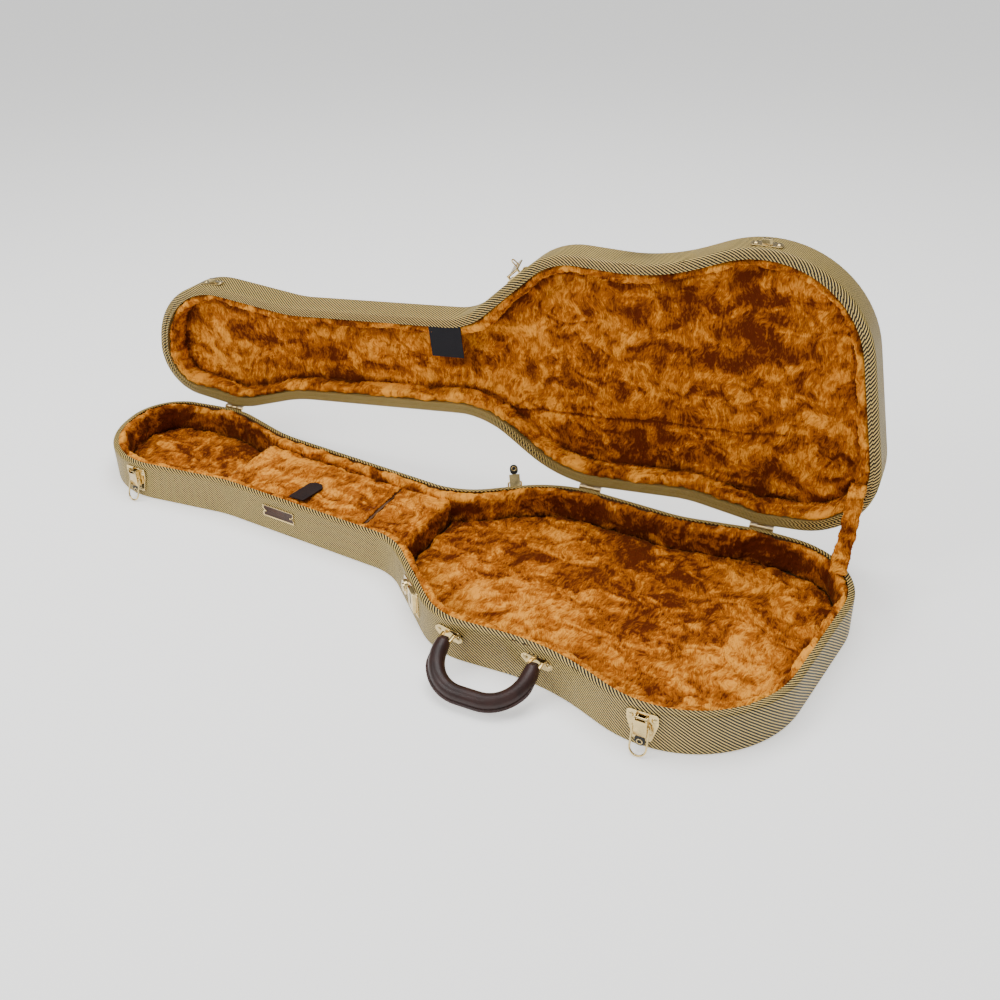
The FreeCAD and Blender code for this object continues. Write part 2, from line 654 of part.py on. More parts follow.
def make_lever(name, swing):
    # channel open towards the wall, its sides round the plate's lugs, with a thumb tab below
    out = size("lever_axis_out")
    pin_z = -size("lever_pin_drop")
    half = size("lever_width") / 2
    deep = size("lever_deep")
    wall = size("lever_wall")
    foot = pin_z + size("head_round") - size("lever_length")
    block = box(name + "_block", "lever_width", "lever_deep - 1.8", "lever_length - head_round")
    block.Placement = moved(-half, -deep, foot)
    head = rod(name + "_head", "head_round", "lever_width", V(-half, -out, pin_z))
    trough = box(name + "_trough", "lever_width - 2 * lever_wall", "lever_deep", "lever_length + head_round")
    trough.Placement = moved(-half + wall, wall - deep, foot + wall)
    bore = rod(name + "_bore", "lever_pin_radius + pin_play", "lever_width + 2", V(-half - 1, -out, pin_z))
    bail_bore = rod(name + "_bail_bore", "bail_wire + pin_play", "lever_width + 2",
                    V(-half - 1, -out, -size("bail_drop")))
    slot = box(name + "_slot", "lug_gap + 2 * lever_wall", "lever_deep", "lever_length")
    slot.Placement = moved(-size("lug_gap") / 2 - wall, -deep - 1, pin_z - size("lever_slot"))
    body = cut(name + "_lever", fuse(name + "_lever", block, head), trough, slot, bore, bail_bore)
    node(body, name + "_lever", swing)
    thumb_half = size("thumb_width") / 2
    reach = size("thumb_reach")
    shoulder = size("thumb_taper") - reach
    thumb = plate(name + "_thumb", [(-thumb_half, 0), (-thumb_half, shoulder), (-thumb_half / 2, -reach),
                                    (thumb_half / 2, -reach), (thumb_half, shoulder), (thumb_half, 0)],
                  "thumb_thick", corner=2.5)
    sunk = size("thumb_thick") - deep + size("thumb_sunk")
    node(thumb, name + "_thumb_tab", swing.multiply(moved(y=sunk, z=foot)))


def make_bail(name, swing, lean):
    # wire with its ends turned into the lever's sides
    half = size("bail_width") / 2
    reach = size("bail_reach")
    bend = size("bail_bend")
    inner = size("lever_width") / 2 - size("lever_wall") - size("bail_end_play")
    slope = math.sqrt(0.5) * bend
    left_end = V(-inner, 0, 0)
    edges = [
        line(left_end, V(bend - half, 0, 0)),
        arc(V(bend - half, 0, 0), V(-half + bend - slope, 0, slope - bend), V(-half, 0, -bend)),
        line(V(-half, 0, -bend), V(-half, 0, half - reach)),
        arc(V(-half, 0, half - reach), V(0, 0, -reach), V(half, 0, half - reach)),
        line(V(half, 0, half - reach), V(half, 0, -bend)),
        arc(V(half, 0, -bend), V(half - bend + slope, 0, slope - bend), V(half - bend, 0, 0)),
        line(V(half - bend, 0, 0), V(inner, 0, 0)),
    ]
    wire = wire_tube(name + "_bail", edges, "bail_wire")
    pivot = moved(0, -size("lever_axis_out"), -size("bail_drop"), X_AXIS, -lean)
    node(wire, name + "_bail", swing.multiply(pivot))


def make_catch(label, place_from):
    # plate with two ears on the lid, and a hook that the bail pulls on
    name = "catch_" + label
    level = size("base_height") + size("rim_gap") + size("catch_rise")
    at = opened.multiply(on_wall(place_from[:2], place_from[2], level))
    half, high = size("catch_width") / 2, size("catch_height") / 2
    metal = size("sheet_metal")
    ear, shoulder = half - size("catch_ear"), high - size("catch_taper")
    corners = [(-half, -high), (half, -high), (half, shoulder), (ear, high), (-ear, high), (-half, shoulder)]
    sheet_part = plate(name, corners, "sheet_metal", corner=2.5)
    hook = size("hook_width") / 2
    reach = size("hook_reach")
    arm = box(name + "_arm", "hook_width", "hook_reach", "sheet_metal")
    arm.Placement = moved(-hook, -reach, -metal)
    tip = box(name + "_tip", "hook_width", "sheet_metal", 5)
    tip.Placement = moved(-hook, -reach, -metal)
    rivet_x = half - size("catch_rivet_in")
    holes = []
    for number, x in enumerate((-rivet_x, rivet_x)):
        holes.append(rivet_hole("%s_hole%d" % (name, number), x, 0))
        lid_rivets.append(rivet("%s_rivet%d" % (name, number), at, x, 0, metal))
    node(cut(name, fuse(name, sheet_part, arm, tip), *holes), name, at)


# ---------------------------------------------------------------- lock latch
def make_lock():
    at = on_wall(LOCK_PLACE, "front", size("lock_middle"))
    half, high, low = size("lock_width") / 2, size("lock_high") / 2, size("lock_low") / 2
    metal = size("sheet_metal")
    boss_x = low - half
    taper, neck = size("lock_taper"), half - size("lock_neck")
    corners = [(-half, taper - low), (taper - half, -low), (neck, -high), (half, -high),
               (half, high), (neck, high), (taper - half, low), (-half, low - taper)]
    sheet_part = plate("lock", corners, "sheet_metal", corner=2)
    boss = rod("lock_boss", "boss_radius", "boss_out", V(boss_x, 0, 0), OUTWARD)
    well = rod("lock_well", "barrel_radius + pin_play", "boss_out", V(boss_x, -metal, 0), OUTWARD)
    case = box("lock_case", "hasp_arm_width + 2 * case_border", "boss_out", "lock_high - 2 * lock_taper")
    case_start = half - size("hasp_arm_width") - size("hasp_from_edge") - size("case_border")
    case.Placement = moved(case_start, -size("boss_out"), taper - high)
    slot = box("lock_slot", "slot_width", "boss_out + 2", "slot_height")
    middle = half - size("hasp_arm_width") / 2 - size("hasp_from_edge")
    slot_start = middle - size("slot_width") / 2
    slot_foot = size("slot_rise") - size("slot_height") / 2
    slot.Placement = moved(slot_start, -size("boss_out") - 1, slot_foot)
    holes = []
    rivet_x, rivet_z = half - size("lock_rivet_in"), high - size("lock_rivet_in")
    for number, (x, z) in enumerate(((rivet_x, rivet_z), (rivet_x, -rivet_z))):
        holes.append(rivet_hole("lock_hole%d" % number, x, z))
        base_rivets.append(rivet("lock_rivet%d" % number, at, x, z, metal))
    node(cut("lock_plate", fuse("lock_plate", sheet_part, boss, case), well, slot, *holes), "lock_plate", at)
    barrel = rod("lock_barrel_round", "barrel_radius", "barrel_out - sheet_metal - 0.3",
                 V(boss_x, -metal - 0.3, 0), OUTWARD)
    key = box("lock_key_slot", "key_slot", 4, "barrel_radius + 1")
    key.Placement = moved(boss_x - size("key_slot") / 2, -size("barrel_out") - 1, -size("barrel_radius") / 2)
    node(cut("lock_barrel", barrel, key), "lock_key_barrel", at)
    make_hasp(middle)


def lock_pocket(name):
    # recess in the wall behind the slot of the lock plate, for the hasp's loop
    at = on_wall(LOCK_PLACE, "front", size("lock_middle"))
    middle = (size("lock_width") - size("hasp_arm_width")) / 2 - size("hasp_from_edge")
    recess = box(name, "slot_width", "pocket_depth + 2", "slot_height")
    foot = size("slot_rise") - size("slot_height") / 2
    return place(recess, at.multiply(moved(middle - size("slot_width") / 2, -2, foot)))


def make_hasp(middle):
    # plate on the lid, and an arm with a wire loop that drops into the lock plate's slot
    level = size("base_height") + size("rim_gap") + size("hasp_rise")
    side = on_wall(LOCK_PLACE, "front", level).multiply(moved(x=middle))
    at = opened.multiply(side)
    half, high = size("hasp_width") / 2, size("hasp_height") / 2
    metal = size("sheet_metal")
    out = size("hasp_axis_out")
    arm_half = size("hasp_arm_width") / 2
    eye_radius = size("hasp_eye")
    axis_z = eye_radius + size("hasp_play") - high
    lug_width = size("hasp_lug")
    lug_middle = arm_half + size("hasp_play") + lug_width / 2
    corners = [(-half, -high), (half, -high), (half, high), (-half, high)]
    sheet_part = plate("hasp", corners, "sheet_metal", corner=3)
    parts = [sheet_part]
    for hand in (-1, 1):
        lug_start = hand * lug_middle - lug_width / 2
        lug = box("hasp_lug%d" % (hand + 1), lug_width, "hasp_axis_out", "2 * hasp_eye")
        lug.Placement = moved(lug_start, -out, axis_z - eye_radius)
        eye = rod("hasp_eye%d" % (hand + 1), "hasp_eye", lug_width, V(lug_start, -out, axis_z))
        parts += [lug, eye]
    pin_start = -lug_middle - lug_width / 2
    pin_hole = rod("hasp_pin_hole", "hasp_pin_radius", -2 * pin_start + 2, V(pin_start - 1, -out, axis_z))
    holes = []
    rivet_x, rivet_z = half - size("hasp_rivet_in"), high - size("hasp_rivet_down")
    for number, x in enumerate((-rivet_x, rivet_x)):
        holes.append(rivet_hole("hasp_hole%d" % number, x, rivet_z))
        lid_rivets.append(rivet("hasp_rivet%d" % number, at, x, rivet_z, metal))
    node(cut("hasp_plate", fuse("hasp_plate", *parts), pin_hole, *holes), "hasp_plate", at)
    node(rod("hasp_pin", "hasp_pin_radius", -2 * pin_start, V(pin_start, -out, axis_z)), "hasp_pin", at)
    swing = at.multiply(moved(0, -out, axis_z, X_AXIS, -HASP_LIFT))
    roll = rod("hasp_roll", "hasp_eye", "hasp_arm_width", V(-arm_half, 0, 0))
    arm = box("hasp_arm_sheet", "hasp_arm_width", "hasp_metal", "hasp_arm")
    arm.Placement = moved(-arm_half, -size("hasp_metal"), -size("hasp_arm"))
    bore = rod("hasp_bore", "hasp_pin_radius + pin_play", "hasp_arm_width + 2", V(-arm_half - 1, 0, 0))
    node(cut("hasp_arm", fuse("hasp_arm", roll, arm), bore), "hasp_arm", swing)
    make_hasp_loop(swing)


def make_hasp_loop(swing):
    # upright wire loop that enters the slot
    foot = size("loop_foot") - size("hasp_arm")
    reach = size("loop_reach")
    legs = size("loop_legs")
    edges = [
        line(V(0, 0, foot + legs), V(0, reach - legs, foot + legs)),
        arc(V(0, reach - legs, foot + legs), V(0, reach, foot), V(0, reach - legs, foot - legs)),
        line(V(0, reach - legs, foot - legs), V(0, 0, foot - legs)),
    ]
    node(wire_tube("hasp_loop", edges, "loop_wire"), "hasp_loop", swing)


# ---------------------------------------------------------------- handle
def make_handle():
    level = size("handle_height")
    wall_y = max(wall_at(spot, "front")[0].y for spot in BRACKETS.values())
    axis_y = wall_y - size("handle_out")
    metal = size("bracket_thick")
    for name, spot in BRACKETS.items():
        at = on_wall(spot, "front", level)
        label = "handle_bracket_" + name
        half, high = size("bracket_long") / 2, size("bracket_high") / 2
        end, tip = half - size("bracket_end"), size("bracket_tip")
        oval = [(-half, -tip), (-end, -high), (end, -high), (half, -tip), (half, tip), (end, high),
                (-end, high), (-half, tip)]
        sheet_part = plate(label, oval, "bracket_thick", corner=1.8)
        holes = []
        for number, x in enumerate((-size("bracket_rivet"), size("bracket_rivet"))):
            holes.append(rivet_hole("%s_hole%d" % (label, number), x, 0))
            base_rivets.append(rivet("%s_rivet%d" % (label, number), at, x, 0, metal))
        oval_part = place(cut(label + "_oval", sheet_part, *holes), at)
        x = from_end(*spot)
        root_y = wall_at(spot, "front")[0].y - metal / 2
        posts = []
        for hand in (-1, 1):
            post_depth = abs(axis_y - root_y) + size("loop_bar")
            post = box("%s_post%d" % (label, hand + 1), "2 * loop_bar", post_depth, "2 * loop_bar")
            post.Placement = moved(x + hand * size("loop_half") - size("loop_bar"), axis_y - size("loop_bar"),
                                   level - size("loop_bar"))
            posts.append(post)
        bar = rod(label + "_bar", "loop_bar", "2 * loop_half", V(x - size("loop_half"), axis_y, level))
        node(fuse(label, oval_part, bar, *posts), label)
    make_grip(axis_y, level)


def make_grip(axis_y, level):
    # C-shaped leather grip, its eyes round the bars of the brackets
    left = from_end(*BRACKETS["left"])
    right = from_end(*BRACKETS["right"])
    half = (right - left) / 2
    reach = size("grip_reach")
    corner = size("grip_corner")
    start = size("grip_start")
    shoulder = reach - corner
    edges = [
        line(V(-half, -start, 0), V(-half, -shoulder, 0)),
        arc(V(-half, -shoulder, 0), corner_middle(-half, -shoulder, corner), V(corner - half, -reach, 0)),
        line(V(corner - half, -reach, 0), V(half - corner, -reach, 0)),
        arc(V(half - corner, -reach, 0), corner_middle(half, -shoulder, corner), V(half, -shoulder, 0)),
        line(V(half, -shoulder, 0), V(half, -start, 0)),
    ]
    tube = wire_tube("grip", edges, "grip_radius")
    parts = [tube]
    holes = []
    for hand in (-1, 1):
        eye = rod("grip_eye%d" % (hand + 1), "eye_radius", "eye_length",
                  V(hand * half - size("eye_length") / 2, 0, 0))
        neck = box("grip_neck%d" % (hand + 1), "eye_length", "eye_neck", "2 * eye_radius")
        neck.Placement = moved(hand * half - size("eye_length") / 2, -size("eye_neck"), -size("eye_radius"))
        hole = rod("grip_hole%d" % (hand + 1), "loop_bar + pin_play", "eye_length + 2",
                   V(hand * half - size("eye_length") / 2 - 1, 0, 0))
        parts += [eye, neck]
        holes.append(hole)
    at = moved((left + right) / 2, axis_y, level, X_AXIS, HANDLE_DROOP)
    node(cut("grip", fuse("grip", *parts), *holes), "handle_grip", at)


def corner_middle(x, y, radius):
    inwards = -1 if x > 0 else 1
    centre = V(x + inwards * radius, y, 0)
    return centre + V(-inwards * radius * math.sqrt(0.5), -radius * math.sqrt(0.5), 0)


# ---------------------------------------------------------------- badge, strap
def make_badge():
    at = on_wall(BADGE_PLACE, "front", size("badge_level"))
    half, high, notch = size("badge_long") / 2, size("badge_high") / 2, size("badge_notch")
    points = [(-half, -high), (half, -high), (half, -notch), (half - notch, 0), (half, notch), (half, high),
              (-half, high), (-half, notch), (notch - half, 0), (-half, -notch)]
    node(plate("badge", points, "badge_thick", corner=0.6), "name_badge", at)
    pins = []
    for hand in (-1, 1):
        head = V(hand * (half - size("badge_pin_in")), -size("badge_thick") - size("badge_pin_head"), 0)
        pins.append(rod("badge_pin%d" % (hand + 1), "badge_pin", "rivet_depth + 1", head, Y_AXIS))
    node(group("badge_pins", *pins), "badge_pins", at)


def make_strap():
    # padded stay strap from the base's padding to the lid's padding at the body end
    half = size("case_length") / 2
    rear = size("case_width") / 2
    foot = V(half - size("strap_foot_in"), rear - size("strap_foot_from_rear"),
             size("base_height") + size("strap_foot_rise"))
    head = V(half - size("strap_head_in"), hinge_y - size("strap_head_forward"),
             hinge_z + size("strap_head_rise"))
    span = head - foot
    strap = box("strap", "strap_width", "strap_thick", span.Length)
    strap.Placement = FreeCAD.Placement(foot, FreeCAD.Rotation(Z_AXIS, span)).multiply(
        moved(-size("strap_width") / 2, -size("strap_thick") / 2, 0))
    node(strap, "stay_strap")


def check_and_write():
    doc.recompute()
    failed = [thing.Name for thing in doc.Objects if "Invalid" in thing.State or "Error" in thing.State]
    if failed:
        raise RuntimeError("objects failed: %s" % ", ".join(failed))
    for thing in nodes:
        if thing.Shape.isNull() or not thing.Shape.isValid() or not thing.Shape.Solids:
            raise RuntimeError("no sound solid in %s" % thing.Label)
    os.makedirs("parts", exist_ok=True)
    for thing in nodes:
        thing.Shape.exportStep("parts/%s.step" % thing.Label)
        bounds = thing.Shape.BoundBox
        print("%-28s %d solids %10.0f mm3  z %.1f..%.1f" % (
            thing.Label, len(thing.Shape.Solids), thing.Shape.Volume, bounds.ZMin, bounds.ZMax))


make_base_shell()
make_base_inside()
make_compartment_lid()
make_lid_shell()
make_lid_inside()
make_hinges()
for latch_name, latch_place in LATCHES.items():
    make_latch(latch_name, latch_place)
    make_catch(latch_name, latch_place)
make_lock()
make_handle()
make_badge()
make_strap()
node(group("base_rivets", *base_rivets), "base_rivets")
node(group("lid_rivets", *lid_rivets), "lid_rivets")
check_and_write()
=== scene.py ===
import bpy
import bmesh
import json
import math
import random
from mathutils import Matrix, Vector, kdtree, noise


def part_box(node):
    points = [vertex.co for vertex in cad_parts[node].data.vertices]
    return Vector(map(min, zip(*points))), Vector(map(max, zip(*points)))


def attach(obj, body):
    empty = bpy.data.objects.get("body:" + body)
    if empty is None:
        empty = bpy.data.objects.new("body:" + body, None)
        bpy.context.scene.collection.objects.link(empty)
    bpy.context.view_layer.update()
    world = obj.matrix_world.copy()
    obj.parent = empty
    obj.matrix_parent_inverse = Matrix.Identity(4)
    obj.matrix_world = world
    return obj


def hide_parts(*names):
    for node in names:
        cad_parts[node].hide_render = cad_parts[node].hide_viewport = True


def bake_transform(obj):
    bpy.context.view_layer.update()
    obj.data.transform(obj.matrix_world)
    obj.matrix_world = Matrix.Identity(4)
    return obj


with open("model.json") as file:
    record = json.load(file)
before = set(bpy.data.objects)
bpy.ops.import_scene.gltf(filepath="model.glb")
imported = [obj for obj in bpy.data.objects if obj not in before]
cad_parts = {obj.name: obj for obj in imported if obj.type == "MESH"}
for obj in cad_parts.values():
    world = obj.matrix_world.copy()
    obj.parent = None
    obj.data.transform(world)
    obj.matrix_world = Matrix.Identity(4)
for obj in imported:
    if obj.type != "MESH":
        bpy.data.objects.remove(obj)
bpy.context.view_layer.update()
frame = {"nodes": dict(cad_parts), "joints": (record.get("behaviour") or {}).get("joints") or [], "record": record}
nodes = frame["nodes"]
joints = {joint["name"]: joint for joint in frame["joints"]}
mm = 0.001


# camera first, then the helpers, materials and pieces

camera = {"place": (606.1, -927.2, 791.3), "turn": 24.40, "tilt": 27.98, "roll": -0.46,
          "lens": 37.99, "shiftX": -0.0406, "shiftY": -0.0845}


def makeCamera():
    data = bpy.data.cameras.new("caseCamera")
    data.sensor_width = 36
    data.lens = camera["lens"]
    data.shift_x = camera["shiftX"]
    data.shift_y = camera["shiftY"]
    data.clip_start = 0.01
    eye = bpy.data.objects.new("caseCamera", data)
    bpy.context.scene.collection.objects.link(eye)
    turn = math.radians(camera["turn"])
    tilt = math.radians(90 - camera["tilt"])
    roll = math.radians(camera["roll"])
    eye.matrix_world = (Matrix.Translation(Vector(camera["place"]) * mm)
                        @ Matrix.Rotation(turn, 4, "Z")
                        @ Matrix.Rotation(tilt, 4, "X")
                        @ Matrix.Rotation(roll, 4, "Z"))
    bpy.context.scene.camera = eye


studio = {"floorHalf": 14.0, "floorColour": (0.86, 0.86, 0.85, 1), "worldColour": (1.0, 1.0, 1.0, 1),
          "worldStrength": 0.34, "floorGlow": 0.85}
lights = {
    "keyLight": {"place": (-1.3, -1.5, 1.7), "aim": (0.0, 0.0, 0.1), "size": 1.2, "power": 34},
    "topLight": {"place": (0.1, 0.35, 2.3), "aim": (0.0, 0.05, 0.0), "size": 1.8, "power": 58},
    "frontLight": {"place": (0.9, -2.0, 1.3), "aim": (0.1, 0.0, 0.15), "size": 1.6, "power": 8},
}


def makeStudio():
    bpy.ops.mesh.primitive_plane_add(size=2 * studio["floorHalf"], location=(0, 0, 0))
    floor = bpy.context.object
    floor.name = "studioFloor"
    bpy.ops.object.transform_apply(location=True, rotation=True, scale=True)
    material = bpy.data.materials.new("studioFloor")
    material.use_nodes = True
    shader = material.node_tree.nodes["Principled BSDF"]
    shader.inputs["Base Color"].default_value = studio["floorColour"]
    shader.inputs["Roughness"].default_value = 0.9
    shader.inputs["Emission Color"].default_value = studio["floorColour"]
    shader.inputs["Emission Strength"].default_value = studio["floorGlow"]
    floor.data.materials.append(material)
    world = bpy.data.worlds.new("studioWorld")
    world.use_nodes = True
    background = world.node_tree.nodes["Background"]
    background.inputs["Color"].default_value = studio["worldColour"]
    background.inputs["Strength"].default_value = studio["worldStrength"]
    bpy.context.scene.world = world
    for name, row in lights.items():
        data = bpy.data.lights.new(name, "AREA")
        data.size = row["size"]
        data.energy = row["power"]
        lamp = bpy.data.objects.new(name, data)
        bpy.context.scene.collection.objects.link(lamp)
        lamp.location = row["place"]
        aim = Vector(row["aim"]) - Vector(row["place"])
        lamp.rotation_euler = aim.to_track_quat("-Z", "Y").to_euler()


print("camera and studio")
makeCamera()
makeStudio()


# small helpers

def deselectAll():
    for thing in list(bpy.context.selected_objects):
        thing.select_set(False)


def makeActive(piece):
    deselectAll()
    piece.select_set(True)
    bpy.context.view_layer.objects.active = piece


def applyModifier(piece, modifier):
    makeActive(piece)
    bpy.ops.object.modifier_apply(modifier=modifier.name)


def smooth(piece, angle=None):
    makeActive(piece)
    if angle is None:
        bpy.ops.object.shade_smooth()
    else:
        bpy.ops.object.shade_smooth_by_angle(angle=math.radians(angle))


def mergedCopy(node, name, dissolve=0.0):
    # a CAD node's copy with its loose triangles joined up
    piece = nodes[node].copy()
    piece.data = nodes[node].data.copy()
    piece.name = name
    piece.parent = None
    for key in list(piece.keys()):
        del piece[key]
    piece.data.materials.clear()
    bpy.context.scene.collection.objects.link(piece)
    makeActive(piece)
    bpy.ops.object.mode_set(mode="EDIT")
    bpy.ops.mesh.select_all(action="SELECT")
    bpy.ops.mesh.remove_doubles(threshold=0.00002)
    if dissolve:
        bpy.ops.mesh.dissolve_limited(angle_limit=math.radians(dissolve))
    bpy.ops.object.mode_set(mode="OBJECT")
    while piece.data.uv_layers:
        piece.data.uv_layers.remove(piece.data.uv_layers[0])
    return piece


def finishPiece(piece, body, material, slot, *replaced):
    piece.data.materials.clear()
    piece.data.materials.append(material)
    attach(piece, body)
    if replaced:
        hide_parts(*replaced)
    return piece


# the case's outline, read from the base's covering at half its height

hinge = Vector(joints["lid_hinge"]["pos_m"])
openLid = (Matrix.Translation(hinge) @ Matrix.Rotation(math.radians(-90), 4, "X")
           @ Matrix.Translation(-hinge))
closeLid = openLid.inverted()


def readOutline(spacing):
    low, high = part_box("base_covering")
    middle = (low.z + high.z) * 0.35
    mesh = bmesh.new()
    mesh.from_mesh(nodes["base_covering"].data)
    bmesh.ops.remove_doubles(mesh, verts=mesh.verts, dist=0.00002)
    everything = list(mesh.verts) + list(mesh.edges) + list(mesh.faces)
    cut = bmesh.ops.bisect_plane(mesh, geom=everything, plane_co=(0, 0, middle), plane_no=(0, 0, 1))
    edges = [part for part in cut["geom_cut"] if isinstance(part, bmesh.types.BMEdge)]
    nextTo = {}
    for edge in edges:
        for here, there in (edge.verts, reversed(edge.verts)):
            nextTo.setdefault(here, []).append(there)
    loops = []
    waiting = set(nextTo)
    while waiting:
        corner = next(iter(waiting))
        loop = []
        while corner in waiting:
            waiting.discard(corner)
            loop.append(corner.co.to_2d())
            ahead = [other for other in nextTo[corner] if other in waiting]
            if ahead:
                corner = ahead[0]
        loops.append(loop)
    mesh.free()
    loop = max(loops, key=lambda points: max(point.x for point in points))
    area = sum(a.x * b.y - b.x * a.y for a, b in zip(loop, loop[1:] + loop[:1]))
    if area < 0:
        loop.reverse()
    return evenly(loop, spacing)


def evenly(loop, spacing):
    lengths = [0.0]
    closed = loop + loop[:1]
    for here, there in zip(closed, closed[1:]):
        lengths.append(lengths[-1] + (there - here).length)
    count = round(lengths[-1] / spacing)
    step = lengths[-1] / count
    points = []
    side = 0
    for number in range(count):
        along = number * step
        while lengths[side + 1] < along:
            side += 1
        share = (along - lengths[side]) / (lengths[side + 1] - lengths[side])
        points.append(closed[side].lerp(closed[side + 1], share))
    return points, step


outline, outlineStep = readOutline(2.5 * mm)
outlineTree = kdtree.KDTree(len(outline))
for number, point in enumerate(outline):
    outlineTree.insert((point.x, point.y, 0), number)
outlineTree.balance()


def outwardAt(number):
    ahead = outline[(number + 2) % len(outline)] - outline[number - 2]
    return Vector((ahead.y, -ahead.x)).normalized()


def nearOutline(place):
    # (distance along the outline, distance in from it) of a point of the closed case
    spot, number, _ = outlineTree.find((place.x, place.y, 0))
    outward = outwardAt(number)
    offset = Vector((place.x, place.y)) - outline[number]
    along = Vector((-outward.y, outward.x)).dot(offset)
    return number * outlineStep + along, -outward.dot(offset)


# node groups that more than one material uses

def newGroup(name, inputs, outputs):
    group = bpy.data.node_groups.new(name, "ShaderNodeTree")
    for label, kind, value in inputs:
        socket = group.interface.new_socket(label, in_out="INPUT", socket_type=kind)
        if value is not None:
            socket.default_value = value
    for label, kind in outputs:
        group.interface.new_socket(label, in_out="OUTPUT", socket_type=kind)
    start = group.nodes.new("NodeGroupInput")
    end = group.nodes.new("NodeGroupOutput")
    return group, start, end


def addNode(tree, kind, links=None, **settings):
    # links: input name or number to a socket or a plain value
    made = tree.nodes.new(kind)
    for key, value in settings.items():
        setattr(made, key, value)
    for key, value in (links or {}).items():
        socket = made.inputs[key]
        if isinstance(value, bpy.types.NodeSocket):
            tree.links.new(value, socket)
        else:
            socket.default_value = value
    return made


def maths(tree, operation, first, second=0.0, third=0.0, clamp=False):
    made = addNode(tree, "ShaderNodeMath", {0: first, 1: second, 2: third}, operation=operation)
    made.use_clamp = clamp
    return made.outputs[0]


def mixColour(tree, share, first, second, blend="MIX"):
    made = tree.nodes.new("ShaderNodeMix")
    made.data_type = "RGBA"
    made.blend_type = blend
    for number, value in ((0, share), (6, first), (7, second)):
        if isinstance(value, bpy.types.NodeSocket):
            tree.links.new(value, made.inputs[number])
        else:
            made.inputs[number].default_value = value
    return made.outputs[2]


def noiseAt(tree, vector, scale, detail=2.0, distortion=0.0, colour=False):
    made = addNode(tree, "ShaderNodeTexNoise",
                   {"Vector": vector, "Scale": scale, "Detail": detail, "Distortion": distortion})
    return made.outputs["Color" if colour else "Fac"]


def stretched(tree, vector, scale, turn=(0, 0, 0)):
    made = addNode(tree, "ShaderNodeMapping", {"Vector": vector, "Scale": scale, "Rotation": turn})
    return made.outputs["Vector"]


def ramp(tree, value, stops):
    made = addNode(tree, "ShaderNodeValToRGB", {0: value})
    points = made.color_ramp.elements
    while len(points) < len(stops):
        points.new(0.5)
    for point, (place, colour) in zip(points, stops):
        point.position = place
        point.color = colour
    return made.outputs["Color"]


def span(tree, value, low, high, toLow=0.0, toHigh=1.0):
    made = addNode(tree, "ShaderNodeMapRange", {0: value, 1: low, 2: high, 3: toLow, 4: toHigh})
    return made.outputs[0]


def makeTweedGroup():
    # diagonal two-colour twill: a dark and a straw yarn that cross every few threads
    group, start, end = newGroup(
        "tweedWeave",
        [("Vector", "NodeSocketVector", None), ("Stripe", "NodeSocketFloat", 0.0031),
         ("Straw", "NodeSocketColor", (0.6, 0.5, 0.3, 1)), ("Dark", "NodeSocketColor", (0.05, 0.03, 0.01, 1))],
        [("Colour", "NodeSocketColor"), ("Height", "NodeSocketFloat"), ("Dirt", "NodeSocketFloat")])
    vector = start.outputs["Vector"]
    wander = noiseAt(group, vector, 45.0, 2.0, colour=True)
    shifted = addNode(group, "ShaderNodeVectorMath", {0: wander, 1: (0.0008, 0.0008, 0.0008)},
                      operation="MULTIPLY")
    moved = addNode(group, "ShaderNodeVectorMath", {0: vector, 1: shifted.outputs[0]}, operation="ADD")
    parts = addNode(group, "ShaderNodeSeparateXYZ", {0: moved.outputs[0]})
    across = maths(group, "ADD", maths(group, "MULTIPLY", parts.outputs[0], 0.62),
                   maths(group, "MULTIPLY", parts.outputs[1], 0.78))
    along = maths(group, "SUBTRACT", maths(group, "MULTIPLY", parts.outputs[0], 0.78),
                  maths(group, "MULTIPLY", parts.outputs[1], 0.62))
    turns = maths(group, "DIVIDE", across, start.outputs["Stripe"])
    steps = maths(group, "DIVIDE", along, start.outputs["Stripe"])
    stagger = maths(group, "MULTIPLY", maths(group, "FLOOR", turns), 0.37)
    stripe = maths(group, "SINE", maths(group, "MULTIPLY", turns, 2 * math.pi))
    thread = maths(group, "SINE", maths(group, "MULTIPLY", maths(group, "ADD", steps, stagger), 2.6 * math.pi))
    fleck = noiseAt(group, vector, 700.0, 1.0)
    mixed = maths(group, "ADD", stripe, maths(group, "MULTIPLY", thread, 0.10))
    mixed = maths(group, "ADD", mixed, span(group, fleck, 0.3, 0.7, -0.06, 0.06))
    share = span(group, mixed, 0.26, 0.60)
    blotch = noiseAt(group, vector, 9.0, 3.0)
    base = mixColour(group, share, start.outputs["Dark"], start.outputs["Straw"])
    shade = mixColour(group, 1.0, base, ramp(group, blotch, [(0.3, (0.86, 0.85, 0.80, 1)), (0.7, (1, 1, 1, 1))]),
                      "MULTIPLY")
    group.links.new(shade, end.inputs["Colour"])
    bumps = maths(group, "ADD", maths(group, "ABSOLUTE", stripe), maths(group, "MULTIPLY", thread, 0.4))
    group.links.new(bumps, end.inputs["Height"])
    group.links.new(blotch, end.inputs["Dirt"])
    return group


